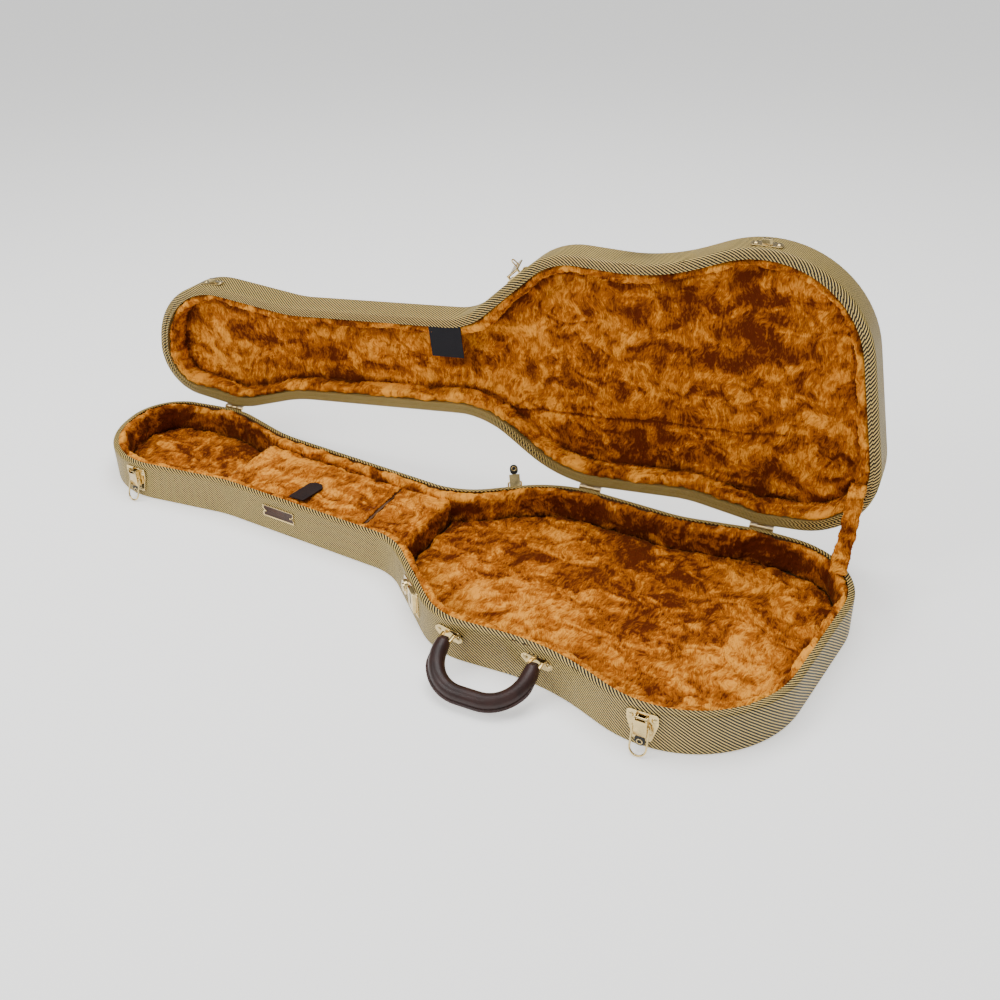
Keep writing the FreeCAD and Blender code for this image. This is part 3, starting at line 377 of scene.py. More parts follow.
def makePlushGroup():
    # long pile: brushed patches and swirled fibres, over a per-point input that holds the pile's tone with painted
    # light and shade, such as painted shade in the partings and corners
    group, start, end = newGroup(
        "plushNap",
        [("Vector", "NodeSocketVector", None), ("PileToneAndShade", "NodeSocketFloat", 0.5),
         ("Light", "NodeSocketColor", (0.6, 0.2, 0.02, 1)), ("Middle", "NodeSocketColor", (0.4, 0.1, 0.01, 1)),
         ("Dark", "NodeSocketColor", (0.1, 0.02, 0.003, 1))],
        [("Colour", "NodeSocketColor"), ("Height", "NodeSocketFloat")])
    vector = start.outputs["Vector"]
    swirl = noiseAt(group, vector, 22.0, 2.0, colour=True)
    centred = addNode(group, "ShaderNodeVectorMath", {0: swirl, 1: (0.5, 0.5, 0.5)}, operation="SUBTRACT")
    bend = addNode(group, "ShaderNodeVectorMath", {0: centred.outputs[0], 1: (0.040, 0.022, 0.022)},
                   operation="MULTIPLY")
    bent = addNode(group, "ShaderNodeVectorMath", {0: vector, 1: bend.outputs[0]}, operation="ADD").outputs[0]
    fibre = noiseAt(group, stretched(group, bent, (820, 190, 190)), 1.0, 2.0, 0.3)
    strand = noiseAt(group, stretched(group, bent, (300, 95, 95)), 1.0, 3.0, 0.4)
    patch = noiseAt(group, stretched(group, bent, (20, 34, 34)), 1.0, 5.0, 1.2)
    wide = noiseAt(group, vector, 7.0, 2.0, 0.4)
    value = maths(group, "MULTIPLY", start.outputs["PileToneAndShade"], 0.95)
    value = maths(group, "ADD", value, span(group, fibre, 0.25, 0.75, -0.24, 0.24))
    value = maths(group, "ADD", value, span(group, strand, 0.3, 0.7, -0.16, 0.16))
    value = maths(group, "ADD", value, span(group, patch, 0.36, 0.62, -0.34, 0.26))
    value = maths(group, "ADD", value, span(group, wide, 0.35, 0.65, -0.12, 0.12))
    low = mixColour(group, span(group, value, 0.05, 0.5), start.outputs["Dark"], start.outputs["Middle"])
    full = mixColour(group, span(group, value, 0.5, 0.95), low, start.outputs["Light"])
    group.links.new(full, end.inputs["Colour"])
    group.links.new(maths(group, "ADD", fibre, strand), end.inputs["Height"])
    return group


def makeGrainGroup():
    # fine pores and broad mottling, for leather, board and plated metal
    group, start, end = newGroup(
        "fineGrain",
        [("Vector", "NodeSocketVector", None), ("Pores", "NodeSocketFloat", 700.0),
         ("Mottle", "NodeSocketFloat", 40.0)],
        [("Height", "NodeSocketFloat"), ("Patch", "NodeSocketFloat"), ("Speck", "NodeSocketFloat")])
    cells = addNode(group, "ShaderNodeTexVoronoi", {"Vector": start.outputs["Vector"],
                                                    "Scale": start.outputs["Pores"]})
    cells.feature = "F1"
    patch = noiseAt(group, start.outputs["Vector"], start.outputs["Mottle"], 4.0)
    speck = noiseAt(group, start.outputs["Vector"], start.outputs["Pores"], 2.0)
    group.links.new(cells.outputs["Distance"], end.inputs["Height"])
    group.links.new(patch, end.inputs["Patch"])
    group.links.new(speck, end.inputs["Speck"])
    return group


def makeWearGroup():
    # 1 on convex edges that rub bright, 0 in the hollows; the hollow output is a mask for painted shade in the
    # hollows
    group, start, end = newGroup(
        "edgeWearAndHollowShade", [("Low", "NodeSocketFloat", 0.50), ("High", "NodeSocketFloat", 0.62)],
        [("Edge", "NodeSocketFloat"), ("HollowShade", "NodeSocketFloat")])
    geometry = group.nodes.new("ShaderNodeNewGeometry")
    point = geometry.outputs["Pointiness"]
    edge = addNode(group, "ShaderNodeMapRange", {0: point, 1: start.outputs["Low"], 2: start.outputs["High"]})
    hollow = addNode(group, "ShaderNodeMapRange", {0: point, 1: 0.5, 2: 0.42})
    group.links.new(edge.outputs[0], end.inputs["Edge"])
    group.links.new(hollow.outputs[0], end.inputs["HollowShade"])
    return group


tweedWeave = makeTweedGroup()
plushNap = makePlushGroup()
fineGrain = makeGrainGroup()
edgeWearAndHollowShade = makeWearGroup()


def placeGroup(tree, group, links=None):
    made = addNode(tree, "ShaderNodeGroup", node_tree=group)
    for key, value in (links or {}).items():
        if isinstance(value, bpy.types.NodeSocket):
            tree.links.new(value, made.inputs[key])
        else:
            made.inputs[key].default_value = value
    return made


def newMaterial(name, **values):
    # values: plain numbers or colours for sockets of the shader
    material = bpy.data.materials.new(name)
    material.use_nodes = True
    tree = material.node_tree
    shader = tree.nodes["Principled BSDF"]
    for key, value in values.items():
        shader.inputs[key.replace("_", " ")].default_value = value
    coordinates = tree.nodes.new("ShaderNodeTexCoord")
    return material, tree, shader, coordinates


def bumpInto(tree, shader, height, distance, strength=1.0):
    bump = addNode(tree, "ShaderNodeBump", {"Height": height, "Distance": distance, "Strength": strength})
    tree.links.new(bump.outputs["Normal"], shader.inputs["Normal"])


tweedLook = {"straw": (0.78, 0.56, 0.17, 1), "dark": (0.006, 0.004, 0.001, 1), "stripe": 3.1 * mm}


def makeTweed(name, mapped):
    material, tree, shader, coordinates = newMaterial(name, Roughness=0.6, Coat_Weight=0.05,
                                                      Coat_Roughness=0.4, Specular_IOR_Level=0.3)
    vector = coordinates.outputs["UV" if mapped else "Object"]
    weave = placeGroup(tree, tweedWeave, {"Vector": vector, "Stripe": tweedLook["stripe"],
                                          "Straw": tweedLook["straw"], "Dark": tweedLook["dark"]})
    tree.links.new(weave.outputs["Colour"], shader.inputs["Base Color"])
    tree.links.new(span(tree, weave.outputs["Dirt"], 0.3, 0.7, 0.48, 0.62), shader.inputs["Roughness"])
    bumpInto(tree, shader, weave.outputs["Height"], 0.0002, 0.45)
    return material


plushLook = {"light": (0.90, 0.37, 0.035, 1), "middle": (0.42, 0.115, 0.006, 1),
             "dark": (0.10, 0.016, 0.002, 1)}


def makePlush():
    material, tree, shader, coordinates = newMaterial("plush", Roughness=0.85, Sheen_Weight=0.12,
                                                      Sheen_Roughness=0.4, Sheen_Tint=(1.0, 0.50, 0.12, 1),
                                                      Specular_IOR_Level=0.08)
    # per-point pile tone with painted light and shade, written by brushPile
    pileToneAndShade = addNode(tree, "ShaderNodeAttribute", attribute_name="pileToneAndShade")
    nap = placeGroup(tree, plushNap, {"Vector": coordinates.outputs["Object"], "PileToneAndShade": pileToneAndShade.outputs["Fac"],
                                      "Light": plushLook["light"], "Middle": plushLook["middle"],
                                      "Dark": plushLook["dark"]})
    tree.links.new(nap.outputs["Colour"], shader.inputs["Base Color"])
    bumpInto(tree, shader, nap.outputs["Height"], 0.0016, 0.9)
    return material


def makeMetal(name, colour, roughness):
    material, tree, shader, coordinates = newMaterial(name, Metallic=1.0, Roughness=roughness)
    grain = placeGroup(tree, fineGrain, {"Vector": coordinates.outputs["Object"], "Pores": 1600.0,
                                         "Mottle": 120.0})
    wearAndHollowShade = placeGroup(tree, edgeWearAndHollowShade)
    dull = tuple(channel * 0.62 for channel in colour[:3]) + (1,)
    shadow = tuple(channel * 0.2 for channel in colour[:3]) + (1,)
    bright = tuple(min(1, channel * 1.12) for channel in colour[:3]) + (1,)
    base = mixColour(tree, span(tree, grain.outputs["Patch"], 0.35, 0.7), colour, dull)
    # painted shade: the metal darkened towards its shadow colour in the hollows
    base = mixColour(tree, wearAndHollowShade.outputs["HollowShade"], base, shadow)
    base = mixColour(tree, wearAndHollowShade.outputs["Edge"], base, bright)
    tree.links.new(base, shader.inputs["Base Color"])
    rough = span(tree, grain.outputs["Speck"], 0.3, 0.7, roughness * 0.75, roughness * 1.5)
    tree.links.new(rough, shader.inputs["Roughness"])
    bumpInto(tree, shader, grain.outputs["Patch"], 0.0001, 0.25)
    return material


def makeLeather(name, colour, roughness, pores, gloss=0.0):
    material, tree, shader, coordinates = newMaterial(name, Roughness=roughness, Coat_Weight=gloss,
                                                      Coat_Roughness=0.3, Specular_IOR_Level=0.3)
    grain = placeGroup(tree, fineGrain, {"Vector": coordinates.outputs["Object"], "Pores": pores,
                                         "Mottle": 55.0})
    wearAndHollowShade = placeGroup(tree, edgeWearAndHollowShade, {"Low": 0.51, "High": 0.66})
    worn = tuple(min(1, channel * 2.2 + 0.006) for channel in colour[:3]) + (1,)
    deep = tuple(channel * 0.5 for channel in colour[:3]) + (1,)
    base = mixColour(tree, span(tree, grain.outputs["Patch"], 0.35, 0.65), deep, colour)
    base = mixColour(tree, maths(tree, "MULTIPLY", wearAndHollowShade.outputs["Edge"], 0.6), base, worn)
    tree.links.new(base, shader.inputs["Base Color"])
    tree.links.new(span(tree, grain.outputs["Speck"], 0.3, 0.7, roughness * 0.8, roughness * 1.3),
                   shader.inputs["Roughness"])
    bumpInto(tree, shader, grain.outputs["Height"], 0.0002, 0.5)
    return material


def makeWood():
    material, tree, shader, coordinates = newMaterial("plywood", Roughness=0.7)
    rings = noiseAt(tree, stretched(tree, coordinates.outputs["Object"], (6, 160, 160)), 1.0, 4.0, 0.5)
    base = ramp(tree, rings, [(0.3, (0.080, 0.032, 0.010, 1)), (0.7, (0.15, 0.07, 0.025, 1))])
    tree.links.new(base, shader.inputs["Base Color"])
    bumpInto(tree, shader, rings, 0.0002, 0.5)
    return material


print("materials")
tweed = makeTweed("tweed", True)
tweedFlat = makeTweed("tweedFlat", False)
plush = makePlush()
brass = makeMetal("paleBrass", (0.72, 0.54, 0.24, 1), 0.16)
pinMetal = makeMetal("pinMetal", (0.62, 0.46, 0.22, 1), 0.3)
handleLeather = makeLeather("handleLeather", (0.032, 0.010, 0.007, 1), 0.42, 900.0, 0.12)
tabLeather = makeLeather("tabLeather", (0.016, 0.007, 0.006, 1), 0.7, 1100.0)
thumbBlack = makeLeather("thumbBlack", (0.008, 0.007, 0.006, 1), 0.35, 1800.0)
labelCloth = makeLeather("labelCloth", (0.004, 0.004, 0.006, 1), 0.85, 2200.0)
stitchThread = makeLeather("stitchThread", (0.035, 0.016, 0.012, 1), 0.7, 2600.0)
badgeEnamel = makeLeather("badgeEnamel", (0.060, 0.022, 0.010, 1), 0.5, 1400.0)
plywood = makeWood()


# tweed shells: the covering's own shape, mapped round the outline

def mapRound(piece, toClosed, middle):
    layer = piece.data.uv_layers.new(name="weave")
    length = len(outline) * outlineStep
    for face in piece.data.polygons:
        first = None
        for corner in face.loop_indices:
            place = toClosed @ piece.data.vertices[piece.data.loops[corner].vertex_index].co
            along, inside = nearOutline(place)
            if first is None:
                first = along
            if along - first > length / 2:
                along -= length
            if first - along > length / 2:
                along += length
            rise = place.z + inside if place.z > middle else place.z - inside
            layer.data[corner].uv = (along, rise)


def makeTweedShell(node, name, body, toClosed):
    piece = mergedCopy(node, name)
    low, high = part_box(node)
    corners = [toClosed @ low, toClosed @ high]
    mapRound(piece, toClosed, (corners[0].z + corners[1].z) / 2)
    smooth(piece, 40)
    return finishPiece(piece, body, tweed, "tweed", node)


print("tweed shells")
makeTweedShell("base_covering", "baseTweed", "base", Matrix.Identity(4))
makeTweedShell("lid_covering", "lidTweed", "lid", closeLid)
makeTweedShell("lid_inner_lip", "lidLipTweed", "lid", closeLid)


# plush: the pad's own space, filled by a cloth cover under pressure, then a brushed pile with painted light and
# shade in its tone

plushWork = {"clothVoxel": 5 * mm, "fineVoxel": 2.3 * mm, "frames": 20, "pressure": 4.0, "hair": 1.5 * mm,
             "tuft": 1.2 * mm, "billow": 1.4 * mm, "crease": 2.4 * mm}


def remesh(piece, voxel):
    modifier = piece.modifiers.new("evenMesh", "REMESH")
    modifier.mode = "VOXEL"
    modifier.voxel_size = voxel
    applyModifier(piece, modifier)


def puff(piece, cap, pinned):
    # cloth skin blown out a little; each point moves at most cap, and pinned(place) stays
    before = [vertex.co.copy() for vertex in piece.data.vertices]
    group = piece.vertex_groups.new(name="held")
    group.add([vertex.index for vertex in piece.data.vertices if pinned(vertex.co, vertex.normal)], 1, "REPLACE")
    modifier = piece.modifiers.new("cover", "CLOTH")
    cloth = modifier.settings
    cloth.quality = 4
    cloth.use_pressure = True
    cloth.uniform_pressure_force = plushWork["pressure"]
    cloth.effector_weights.gravity = 0
    cloth.vertex_group_mass = "held"
    cloth.shrink_min = -0.04
    modifier.point_cache.frame_start = 1
    modifier.point_cache.frame_end = plushWork["frames"]
    for number in range(1, plushWork["frames"] + 1):
        bpy.context.scene.frame_set(number)
    applyModifier(piece, modifier)
    bpy.context.scene.frame_set(1)
    for vertex, start in zip(piece.data.vertices, before):
        move = vertex.co - start
        if move.length > cap:
            vertex.co = start + move.normalized() * cap
    piece.vertex_groups.clear()


def brushPile(piece, seed, height=1.0, crease=1.0, toneAndPaintedLight=None):
    # billows, partings, tufts and single hairs, and each point's pile tone, with painted shade in the partings and
    # the painted light and shade that the per-piece function adds
    rng = random.Random(seed)
    offset = Vector((seed * 1.7, seed * 0.9, seed * 2.3))
    shades = []
    moves = []
    for vertex in piece.data.vertices:
        place = vertex.co * 1.0
        warp = noise.noise_vector(place * 18 + offset) * 0.02
        wide = noise.noise(place * 11 + offset)
        parting = 1 - abs(noise.noise((place + warp) * 17 + offset)) * 7.0
        gate = max(0.0, noise.noise(place * 14 - offset) * 2.2)
        parting = max(0.0, parting) ** 2 * min(1.0, gate)
        brushed = place + warp
        tuft = noise.noise(Vector((brushed.x * 230, brushed.y * 80, brushed.z * 80)) + offset)
        clump = noise.noise(Vector((brushed.x * 90, brushed.y * 45, brushed.z * 45)) + offset)
        hair = rng.random()
        lift = (plushWork["billow"] * wide + plushWork["tuft"] * (tuft + clump) * 0.8
                - plushWork["crease"] * crease * parting * 0.8 + plushWork["hair"] * (hair - 0.6)) * height
        lean = Vector((rng.random() - 0.5, rng.random() - 0.5, rng.random() - 0.5)) * plushWork["hair"] * 0.5
        lean += noise.noise_vector(place * 26 + offset) * plushWork["hair"] * 0.9
        if toneAndPaintedLight is panelEdgeShade:
            lift -= panelSeam["deep"] * seamNearness(place)
        moves.append(vertex.normal * lift + lean)
        # painted shade: partings darkened (parting * crease) on top of the random pile tone
        shade = 0.56 + 0.20 * wide + 0.20 * clump + 0.22 * tuft + 0.20 * (hair - 0.5) - 0.40 * parting * crease
        if toneAndPaintedLight:
            shade += toneAndPaintedLight(place, vertex.normal)
        shades.append(min(1.0, max(0.0, shade)))
    for vertex, move in zip(piece.data.vertices, moves):
        vertex.co += move
    # the per-point attribute holds the pile's tone together with the painted light and shade
    layer = piece.data.attributes.new("pileToneAndShade", "FLOAT", "POINT")
    layer.data.foreach_set("value", shades)


def makePlushPad(node, name, body, seed, cap, pinned, toneAndPaintedLight=None, voxel=None):
    # a lining with no cap is too thin for the cloth step, so it only gets its pile
    piece = mergedCopy(node, name)
    if cap:
        remesh(piece, plushWork["clothVoxel"])
        puff(piece, cap, pinned)
    remesh(piece, voxel or plushWork["fineVoxel"])
    relax = piece.modifiers.new("soften", "SMOOTH")
    relax.factor = 0.5
    relax.iterations = 3
    applyModifier(piece, relax)
    brushPile(piece, seed, toneAndPaintedLight=toneAndPaintedLight)
    smooth(piece)
    finishPiece(piece, body, plush, "plush", node)
    print("plush", name, len(piece.data.polygons))
    return piece


def heldBelow(level):
    return lambda place, normal: place.z < level or normal.z < -0.5


def heldAgainstWall(toClosed, inside):
    # points on the side that lies against the wall stay
    def held(place, normal):
        along, depth = nearOutline(toClosed @ place)
        return depth < inside
    return held


def heldAgainstPanel(place, normal):
    return normal.y > 0.3


def ease(value, low, high):
    share = min(1.0, max(0.0, (value - low) / (high - low)))
    return share * share * (3 - 2 * share)


# painted shade on the floor: depth darkens within inset..inset+fade of the wall, level darkens it all
floorShade = {"inset": 18 * mm, "fade": 26 * mm, "depth": 0.36, "level": -0.10}


def shadeFloorEdge(place, normal):
    # painted shade where the floor runs into the wall, and the floor a little darker overall
    along, depth = nearOutline(place)
    return floorShade["level"] - floorShade["depth"] * (1 - ease(depth, floorShade["inset"], floorShade["inset"] + floorShade["fade"]))


def wallLightAndShade(place, normal):
    # painted light: the rolled top painted bright, the side painted darker lower down as shade inside the case
    return 0.02 - 0.46 * (1 - ease(place.z, 36 * mm, 50 * mm))


def rollLightAndShade(place, normal):
    # painted highlight over the roll, painted shade where it is tucked in at the panel
    closed = closeLid @ place
    return 0.06 - 0.50 * ease(closed.z, 73 * mm, 83 * mm)


# the sewn seam on the lid panel: deep sinks the pile, depth is the painted shade along it
panelSeam = {"from": -170 * mm, "to": 415 * mm, "low": 108 * mm, "high": 168 * mm, "waver": 3 * mm,
             "wide": 2.6 * mm, "deep": 2.6 * mm, "depth": 0.5}


def seamNearness(place):
    # 1 on the sewn line that rises along the panel, 0 a few millimetres off it
    if not panelSeam["from"] <= place.x <= panelSeam["to"]:
        return 0.0
    share = (place.x - panelSeam["from"]) / (panelSeam["to"] - panelSeam["from"])
    level = panelSeam["low"] + (panelSeam["high"] - panelSeam["low"]) * share
    level += panelSeam["waver"] * noise.noise(Vector((place.x * 22, 0.5, 0.5)))
    return max(0.0, 1 - abs(place.z - level) / panelSeam["wide"])


# painted shade near the panel's outline where the roll meets it, and along the sewn seam
def panelEdgeShade(place, normal):
    along, depth = nearOutline(closeLid @ place)
    edge = 0.42 * (1 - ease(depth, 25 * mm, 34 * mm))
    return -0.06 - edge - panelSeam["depth"] * seamNearness(place)


# painted shade low on the block, darker towards its foot
def blockLowShade(place, normal):
    return -0.02 - 0.42 * (1 - ease(place.z, 30 * mm, 42 * mm))


print("plush pads")
identity = Matrix.Identity(4)
againstWall = heldAgainstWall(identity, 8 * mm)
againstLip = heldAgainstWall(closeLid, 14 * mm)
pads = (
    ("base_wall_padding", "baseWallPlush", "base", 3 * mm, 0.7, againstWall, wallLightAndShade),
    ("body_floor_pad", "bodyFloorPlush", "base", 2 * mm, 0.4, heldBelow(9 * mm), shadeFloorEdge),
    ("headstock_floor_pad", "headstockFloorPlush", "base", 2 * mm, 0.4, heldBelow(9 * mm), shadeFloorEdge),
    ("headstock_partition", "partitionPlush", "base", 2 * mm, 0.5, heldBelow(8 * mm), blockLowShade),
    ("neck_rest_block", "neckRestPlush", "base", 2.5 * mm, 0.7, heldBelow(10 * mm), blockLowShade),
    ("compartment_lining", "compartmentPlush", "base", 0, 0.2, heldBelow(7 * mm), shadeFloorEdge),
    ("compartment_lid_cover", "compartmentLidPlush", "compartment_lid", 2 * mm, 0.6, heldBelow(39 * mm), None),
    ("lid_wall_padding", "lidRollPlush", "lid", 3 * mm, 0.7, againstLip, rollLightAndShade),
    ("lid_panel_padding", "lidPanelPlush", "lid", 2.5 * mm, 0.4, heldAgainstPanel, panelEdgeShade),
)
for seed, (node, name, body, cap, fill, pinned, toneAndPaintedLight) in enumerate(pads, 1):
    makePlushPad(node, name, body, seed, cap, pinned, toneAndPaintedLight)


# fittings: the CAD shapes with their edges eased

def easedCopy(node, body, material, slot, width):
    piece = mergedCopy(node, node + "_eased", dissolve=1.0)
    bevel = piece.modifiers.new("easedEdges", "BEVEL")
    bevel.width = width
    bevel.segments = 2
    bevel.limit_method = "ANGLE"
    bevel.angle_limit = math.radians(50)
    bevel.harden_normals = False
    applyModifier(piece, bevel)
    smooth(piece, 35)
    return finishPiece(piece, body, material, slot, node)


easedNodes = ["lock_plate", "lock_key_barrel", "hasp_plate", "hasp_arm", "handle_bracket_left",
              "handle_bracket_right", "hinge_base_leaves", "hinge_lid_leaves", "base_rivets", "lid_rivets"]
latches = ("front_left", "front_right", "rear")
for latch in latches:
    easedNodes += ["latch_%s_plate" % latch, "latch_%s_lever" % latch, "catch_%s" % latch]
bodyOf = {node: body for body, members in frame["record"]["behaviour"]["bodies"].items() for node in members}

print("fittings")
for node in easedNodes:
    shade = pinMetal if node.startswith("hinge") else brass
    easedCopy(node, bodyOf[node], shade, "brass", 0.25 * mm)


# pull tab: soft leather lying on the pile, its free end rounded and a little lifted

pullTab = {"lift": 3.2 * mm, "curl": 2.5 * mm, "round": 0.4 * mm}


def makePullTab():
    piece = mergedCopy("compartment_pull_tab", "pullTab")
    low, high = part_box("compartment_pull_tab")
    for vertex in piece.data.vertices:
        share = (vertex.co.y - low.y) / (high.y - low.y)
        vertex.co.z += pullTab["lift"] + pullTab["curl"] * (1 - share) ** 2
    bevel = piece.modifiers.new("roundedEdge", "BEVEL")
    bevel.width = pullTab["round"]
    bevel.segments = 2
    bevel.limit_method = "ANGLE"
    applyModifier(piece, bevel)
    smooth(piece, 35)
    finishPiece(piece, "compartment_lid", tabLeather, "tab_leather", "compartment_pull_tab")


print("pull tab")
makePullTab()


# thumb tabs: a moulded tongue with a metal eyelet at the end of each lever

thumb = {"thick": 2.4 * mm, "round": 0.7 * mm, "eyeletOut": 2.9 * mm, "eyeletWire": 0.65 * mm}


def leverFrame(latch):
    joint = joints["latch_%s_lever_swing" % latch]
    xAxis = -Vector(joint["axis"])
    lift = math.radians(150 if latch == "rear" else 0)
    basis = Matrix((xAxis, Vector((0, 0, 1)).cross(xAxis), Vector((0, 0, 1)))).transposed().to_4x4()
    return Matrix.Translation(Vector(joint["pos_m"])) @ basis @ Matrix.Rotation(-lift, 4, "X")


def boxIn(node, toLocal):
    places = [toLocal @ vertex.co for vertex in nodes[node].data.vertices]
    low = Vector([min(place[axis] for place in places) for axis in range(3)])
    high = Vector([max(place[axis] for place in places) for axis in range(3)])
    return low, high


def placeAt(piece, matrix):
    piece.data.transform(matrix)
    piece.data.update()


def makeThumb(latch):
    at = leverFrame(latch)
    low, high = boxIn("latch_%s_thumb_tab" % latch, at.inverted())
    middle = (low + high) / 2
    half = (high.x - low.x) / 2
    deselectAll()
    bpy.ops.mesh.primitive_cylinder_add(vertices=40, radius=half, depth=high.y - low.y)
    tongue = bpy.context.object
    tongue.name = "thumbTab_%s" % latch
    bpy.ops.object.mode_set(mode="EDIT")
    bpy.ops.mesh.select_all(action="SELECT")
    bpy.ops.transform.rotate(value=math.radians(90), orient_axis="X", center_override=(0, 0, 0))
    bpy.ops.object.mode_set(mode="OBJECT")
    for vertex in tongue.data.vertices:
        if vertex.co.z > 0.0001:
            vertex.co.z += (high.z - low.z) - 2 * half + 0.0005
    placeAt(tongue, at @ Matrix.Translation((middle.x, middle.y, low.z + half)))
    bevel = tongue.modifiers.new("roundedEdge", "BEVEL")
    bevel.width = thumb["round"]
    bevel.segments = 3
    bevel.limit_method = "ANGLE"
    applyModifier(tongue, bevel)
    smooth(tongue, 40)
    finishPiece(tongue, "latch_%s_lever_body" % latch, thumbBlack, "thumb_black", "latch_%s_thumb_tab" % latch)
    deselectAll()
    bpy.ops.mesh.primitive_torus_add(major_radius=thumb["eyeletOut"], minor_radius=thumb["eyeletWire"],
                                     major_segments=32, minor_segments=10)
    eyelet = bpy.context.object
    eyelet.name = "thumbEyelet_%s" % latch
    placeAt(eyelet, at @ Matrix.Translation((middle.x, low.y, low.z + half)) @ Matrix.Rotation(math.radians(90), 4, "X"))
    smooth(eyelet)
    finishPiece(eyelet, "latch_%s_lever_body" % latch, brass, "brass")


for latch in latches:
    makeThumb(latch)


# carry handle: padded leather grip with a stitched seam strip on its outer edge

grip = {"droop": 24.5, "reach": 52 * mm, "corner": 42 * mm, "thick": 9.3 * mm, "endThick": 8.0 * mm,
        "taper": 12 * mm, "steps": 14, "voxel": 1.0 * mm, "eye": 5.2 * mm, "eyeLong": 9 * mm,
        "strip": 2.6 * mm, "stripFade": 4, "stripThick": 1.0 * mm, "stitch": 3.4 * mm, "stitchGap": 1.3 * mm,
        "stitchFrom": -22 * mm}


def gripFrame():
    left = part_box("handle_bracket_left")
    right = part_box("handle_bracket_right")
    half = ((right[0].x + right[1].x) - (left[0].x + left[1].x)) / 4
    at = Matrix.Translation(Vector(joints["handle_swing"]["pos_m"])) @ Matrix.Rotation(math.radians(grip["droop"]), 4, "X")
    return at, half


def gripPath(half, outset=0.0):
    # centre line in the handle's own plane: x along the case, -y away from it
    corner = grip["corner"]
    shoulder = grip["reach"] - corner
    points = [Vector((-half - outset, 0, 0))]
    for side in (-1, 1):
        for step in range(grip["steps"] + 1):
            share = step / grip["steps"]
            angle = math.radians(90) * (share if side < 0 else 1 - share)
            reach = corner + outset
            x = side * (half - corner) + side * reach * math.cos(angle)
            points.append(Vector((x, -shoulder - reach * math.sin(angle), 0)))
    points.append(Vector((half + outset, 0, 0)))
    return points


def tubeAlong(name, points, radii, turns=12):
    data = bpy.data.curves.new(name, "CURVE")
    data.dimensions = "3D"
    data.bevel_depth = 1.0
    data.bevel_resolution = turns
    data.use_fill_caps = True
    spline = data.splines.new("POLY")
    spline.points.add(len(points) - 1)
    for spot, place, radius in zip(spline.points, points, radii):
        spot.co = (place.x, place.y, place.z, 1)
        spot.radius = radius
    tube = bpy.data.objects.new(name, data)
    bpy.context.scene.collection.objects.link(tube)
    makeActive(tube)
    bpy.ops.object.convert(target="MESH")
    return bpy.context.object


def makeGrip():
    at, half = gripFrame()
    points = gripPath(half)
    lengths = [0.0]
    for here, there in zip(points, points[1:]):
        lengths.append(lengths[-1] + (there - here).length)
    radii = []
    for length in lengths:
        fromEnd = min(length, lengths[-1] - length)
        radii.append(grip["endThick"] + (grip["thick"] - grip["endThick"]) * ease(fromEnd, 0, grip["taper"]))
    tube = tubeAlong("handleGrip", points, radii)
    parts = [tube]
    for side in (-1, 1):
        deselectAll()
        bpy.ops.mesh.primitive_cylinder_add(vertices=32, radius=grip["eye"], depth=grip["eyeLong"],
                                            location=(side * half, 0, 0), rotation=(0, math.radians(90), 0))
        parts.append(bpy.context.object)
    for part in parts:
        part.select_set(True)
    bpy.context.view_layer.objects.active = tube
    bpy.ops.object.join()
    bpy.ops.object.transform_apply(location=True, rotation=True, scale=True)
    remesh(tube, grip["voxel"])
    relax = tube.modifiers.new("softEdges", "SMOOTH")
    relax.iterations = 5
    applyModifier(tube, relax)
    placeAt(tube, at)
    smooth(tube)
    finishPiece(tube, "handle", handleLeather, "handle_leather", "handle_grip")
    makeGripStrip(at, half)


def makeGripStrip(at, half):
    # the two hide edges sewn together proud of the padding, with a row of stitches each side
    inner = gripPath(half, grip["thick"] - 0.8 * mm)
    outer = gripPath(half, grip["thick"] + grip["strip"])
    deep = grip["stripThick"]
    mesh = bmesh.new()
    rings = []
    last = len(inner) - 3
    for number, (near, far) in enumerate(zip(inner[1:-1], outer[1:-1])):
        far = near.lerp(far, ease(min(number, last - number), 0, grip["stripFade"]))
        rings.append([mesh.verts.new((p.x, p.y, z)) for p, z in ((near, -deep), (far, -deep * 0.7),
                                                                 (far, deep * 0.7), (near, deep))])
    for here, there in zip(rings, rings[1:]):
        for side in range(4):
            mesh.faces.new((here[side], here[(side + 1) % 4], there[(side + 1) % 4], there[side]))
    mesh.faces.new(rings[0])
    mesh.faces.new(rings[-1][::-1])
    bmesh.ops.recalc_face_normals(mesh, faces=mesh.faces)
    data = bpy.data.meshes.new("gripSeamStrip")
    mesh.to_mesh(data)
    mesh.free()
    strip = bpy.data.objects.new("gripSeamStrip", data)
    bpy.context.scene.collection.objects.link(strip)
    bevel = strip.modifiers.new("softEdges", "BEVEL")
    bevel.width = 0.5 * mm
    bevel.segments = 2
    bevel.limit_method = "ANGLE"
    applyModifier(strip, bevel)
    placeAt(strip, at)
    smooth(strip, 50)
    finishPiece(strip, "handle", handleLeather, "handle_leather")
    makeStitches(at, gripPath(half, grip["thick"] + grip["strip"] * 0.45)[1:-1])


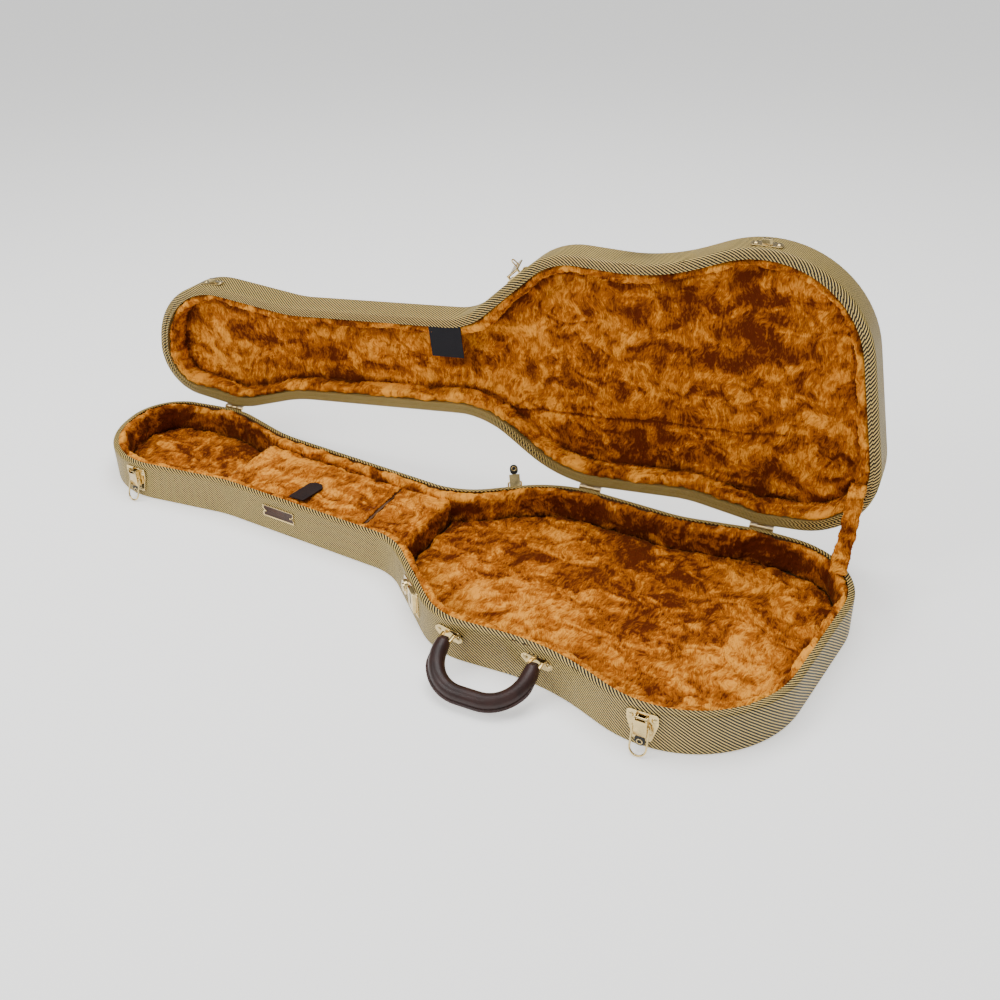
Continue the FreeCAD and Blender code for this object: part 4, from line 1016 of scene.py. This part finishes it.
def makeStitches(at, line):
    loop, step = evenly([point.to_2d() for point in line], grip["stitch"] + grip["stitchGap"])
    farthest = (line[0] - line[-1]).length
    mesh = bmesh.new()
    for here, there in zip(loop, loop[1:]):
        if max(here.y, there.y) > grip["stitchFrom"]:
            continue
        if min((here - p.to_2d()).length for p in line) > 1.5 * mm:
            continue
        heading = (there - here).normalized()
        middle = here + heading * grip["stitch"] / 2
        turn = math.atan2(heading.y, heading.x)
        for z in (-grip["stripThick"], grip["stripThick"]):
            spot = (Matrix.Translation((middle.x, middle.y, z)) @ Matrix.Rotation(turn, 4, "Z")
                    @ Matrix.Diagonal((grip["stitch"] / 2, 0.42 * mm, 0.42 * mm, 1)))
            bmesh.ops.create_icosphere(mesh, subdivisions=1, radius=1.0, matrix=spot)
    data = bpy.data.meshes.new("gripStitches")
    mesh.to_mesh(data)
    mesh.free()
    stitches = bpy.data.objects.new("gripStitches", data)
    bpy.context.scene.collection.objects.link(stitches)
    placeAt(stitches, at)
    smooth(stitches)
    finishPiece(stitches, "handle", stitchThread, "handle_leather")


print("handle")
makeGrip()


# name badge: enamel field inside a raised bright rim, left plain

badge = {"rim": 1.3 * mm, "sunk": 0.5 * mm, "round": 0.2 * mm}


def makeBadge():
    piece = mergedCopy("name_badge", "nameBadge", dissolve=2.0)
    facing = [face.area * (face.normal.y < -0.5) for face in piece.data.polygons]
    front = facing.index(max(facing))
    makeActive(piece)
    bpy.ops.object.mode_set(mode="EDIT")
    bpy.ops.mesh.select_mode(type="FACE")
    bpy.ops.mesh.select_all(action="DESELECT")
    bpy.ops.object.mode_set(mode="OBJECT")
    piece.data.polygons[front].select = True
    bpy.ops.object.mode_set(mode="EDIT")
    bpy.ops.mesh.inset(thickness=badge["rim"], depth=-badge["sunk"])
    bpy.ops.object.mode_set(mode="OBJECT")
    inside = [face.index for face in piece.data.polygons if face.select]
    piece.data.materials.clear()
    piece.data.materials.append(brass)
    piece.data.materials.append(badgeEnamel)
    for number in inside:
        piece.data.polygons[number].material_index = 1
    bevel = piece.modifiers.new("easedEdges", "BEVEL")
    bevel.width = badge["round"]
    bevel.segments = 2
    bevel.limit_method = "ANGLE"
    applyModifier(piece, bevel)
    smooth(piece, 35)
    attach(piece, "base")
    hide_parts("name_badge")


print("badge")
makeBadge()


# stay strap: a plush sleeve, ruched, from the base's corner to the lid's roll

strap = {"voxel": 1.6 * mm, "ruche": 2.2 * mm, "pitch": 9 * mm, "lower": 0.12, "upper": 0.88}


def makeStrap():
    piece = mergedCopy("stay_strap", "stayStrapPlush")
    remesh(piece, strap["voxel"])
    relax = piece.modifiers.new("soften", "SMOOTH")
    relax.iterations = 12
    applyModifier(piece, relax)
    for vertex in piece.data.vertices:
        wave = noise.noise(Vector((3.1, 0.4, vertex.co.z / strap["pitch"])))
        vertex.co += vertex.normal * strap["ruche"] * wave
    brushPile(piece, 11, height=0.9, toneAndPaintedLight=lambda place, normal: 0.06)
    smooth(piece)
    piece.data.materials.append(plush)
    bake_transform(piece)
    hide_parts("stay_strap")


print("strap")
makeStrap()


nodeMaterials = {"tweed": tweedFlat, "plush": plush, "plywood": plywood, "brass": brass,
                 "handle_leather": handleLeather, "tab_leather": tabLeather, "label_cloth": labelCloth,
                 "badge_enamel": badgeEnamel, "thumb_black": thumbBlack}
slotOf = {row["node"]: row["material_slot"] for row in frame["record"]["subparts"]}
for name, thing in nodes.items():
    thing.data.materials.clear()
    thing.data.materials.append(nodeMaterials[slotOf[name]])


print("finish")
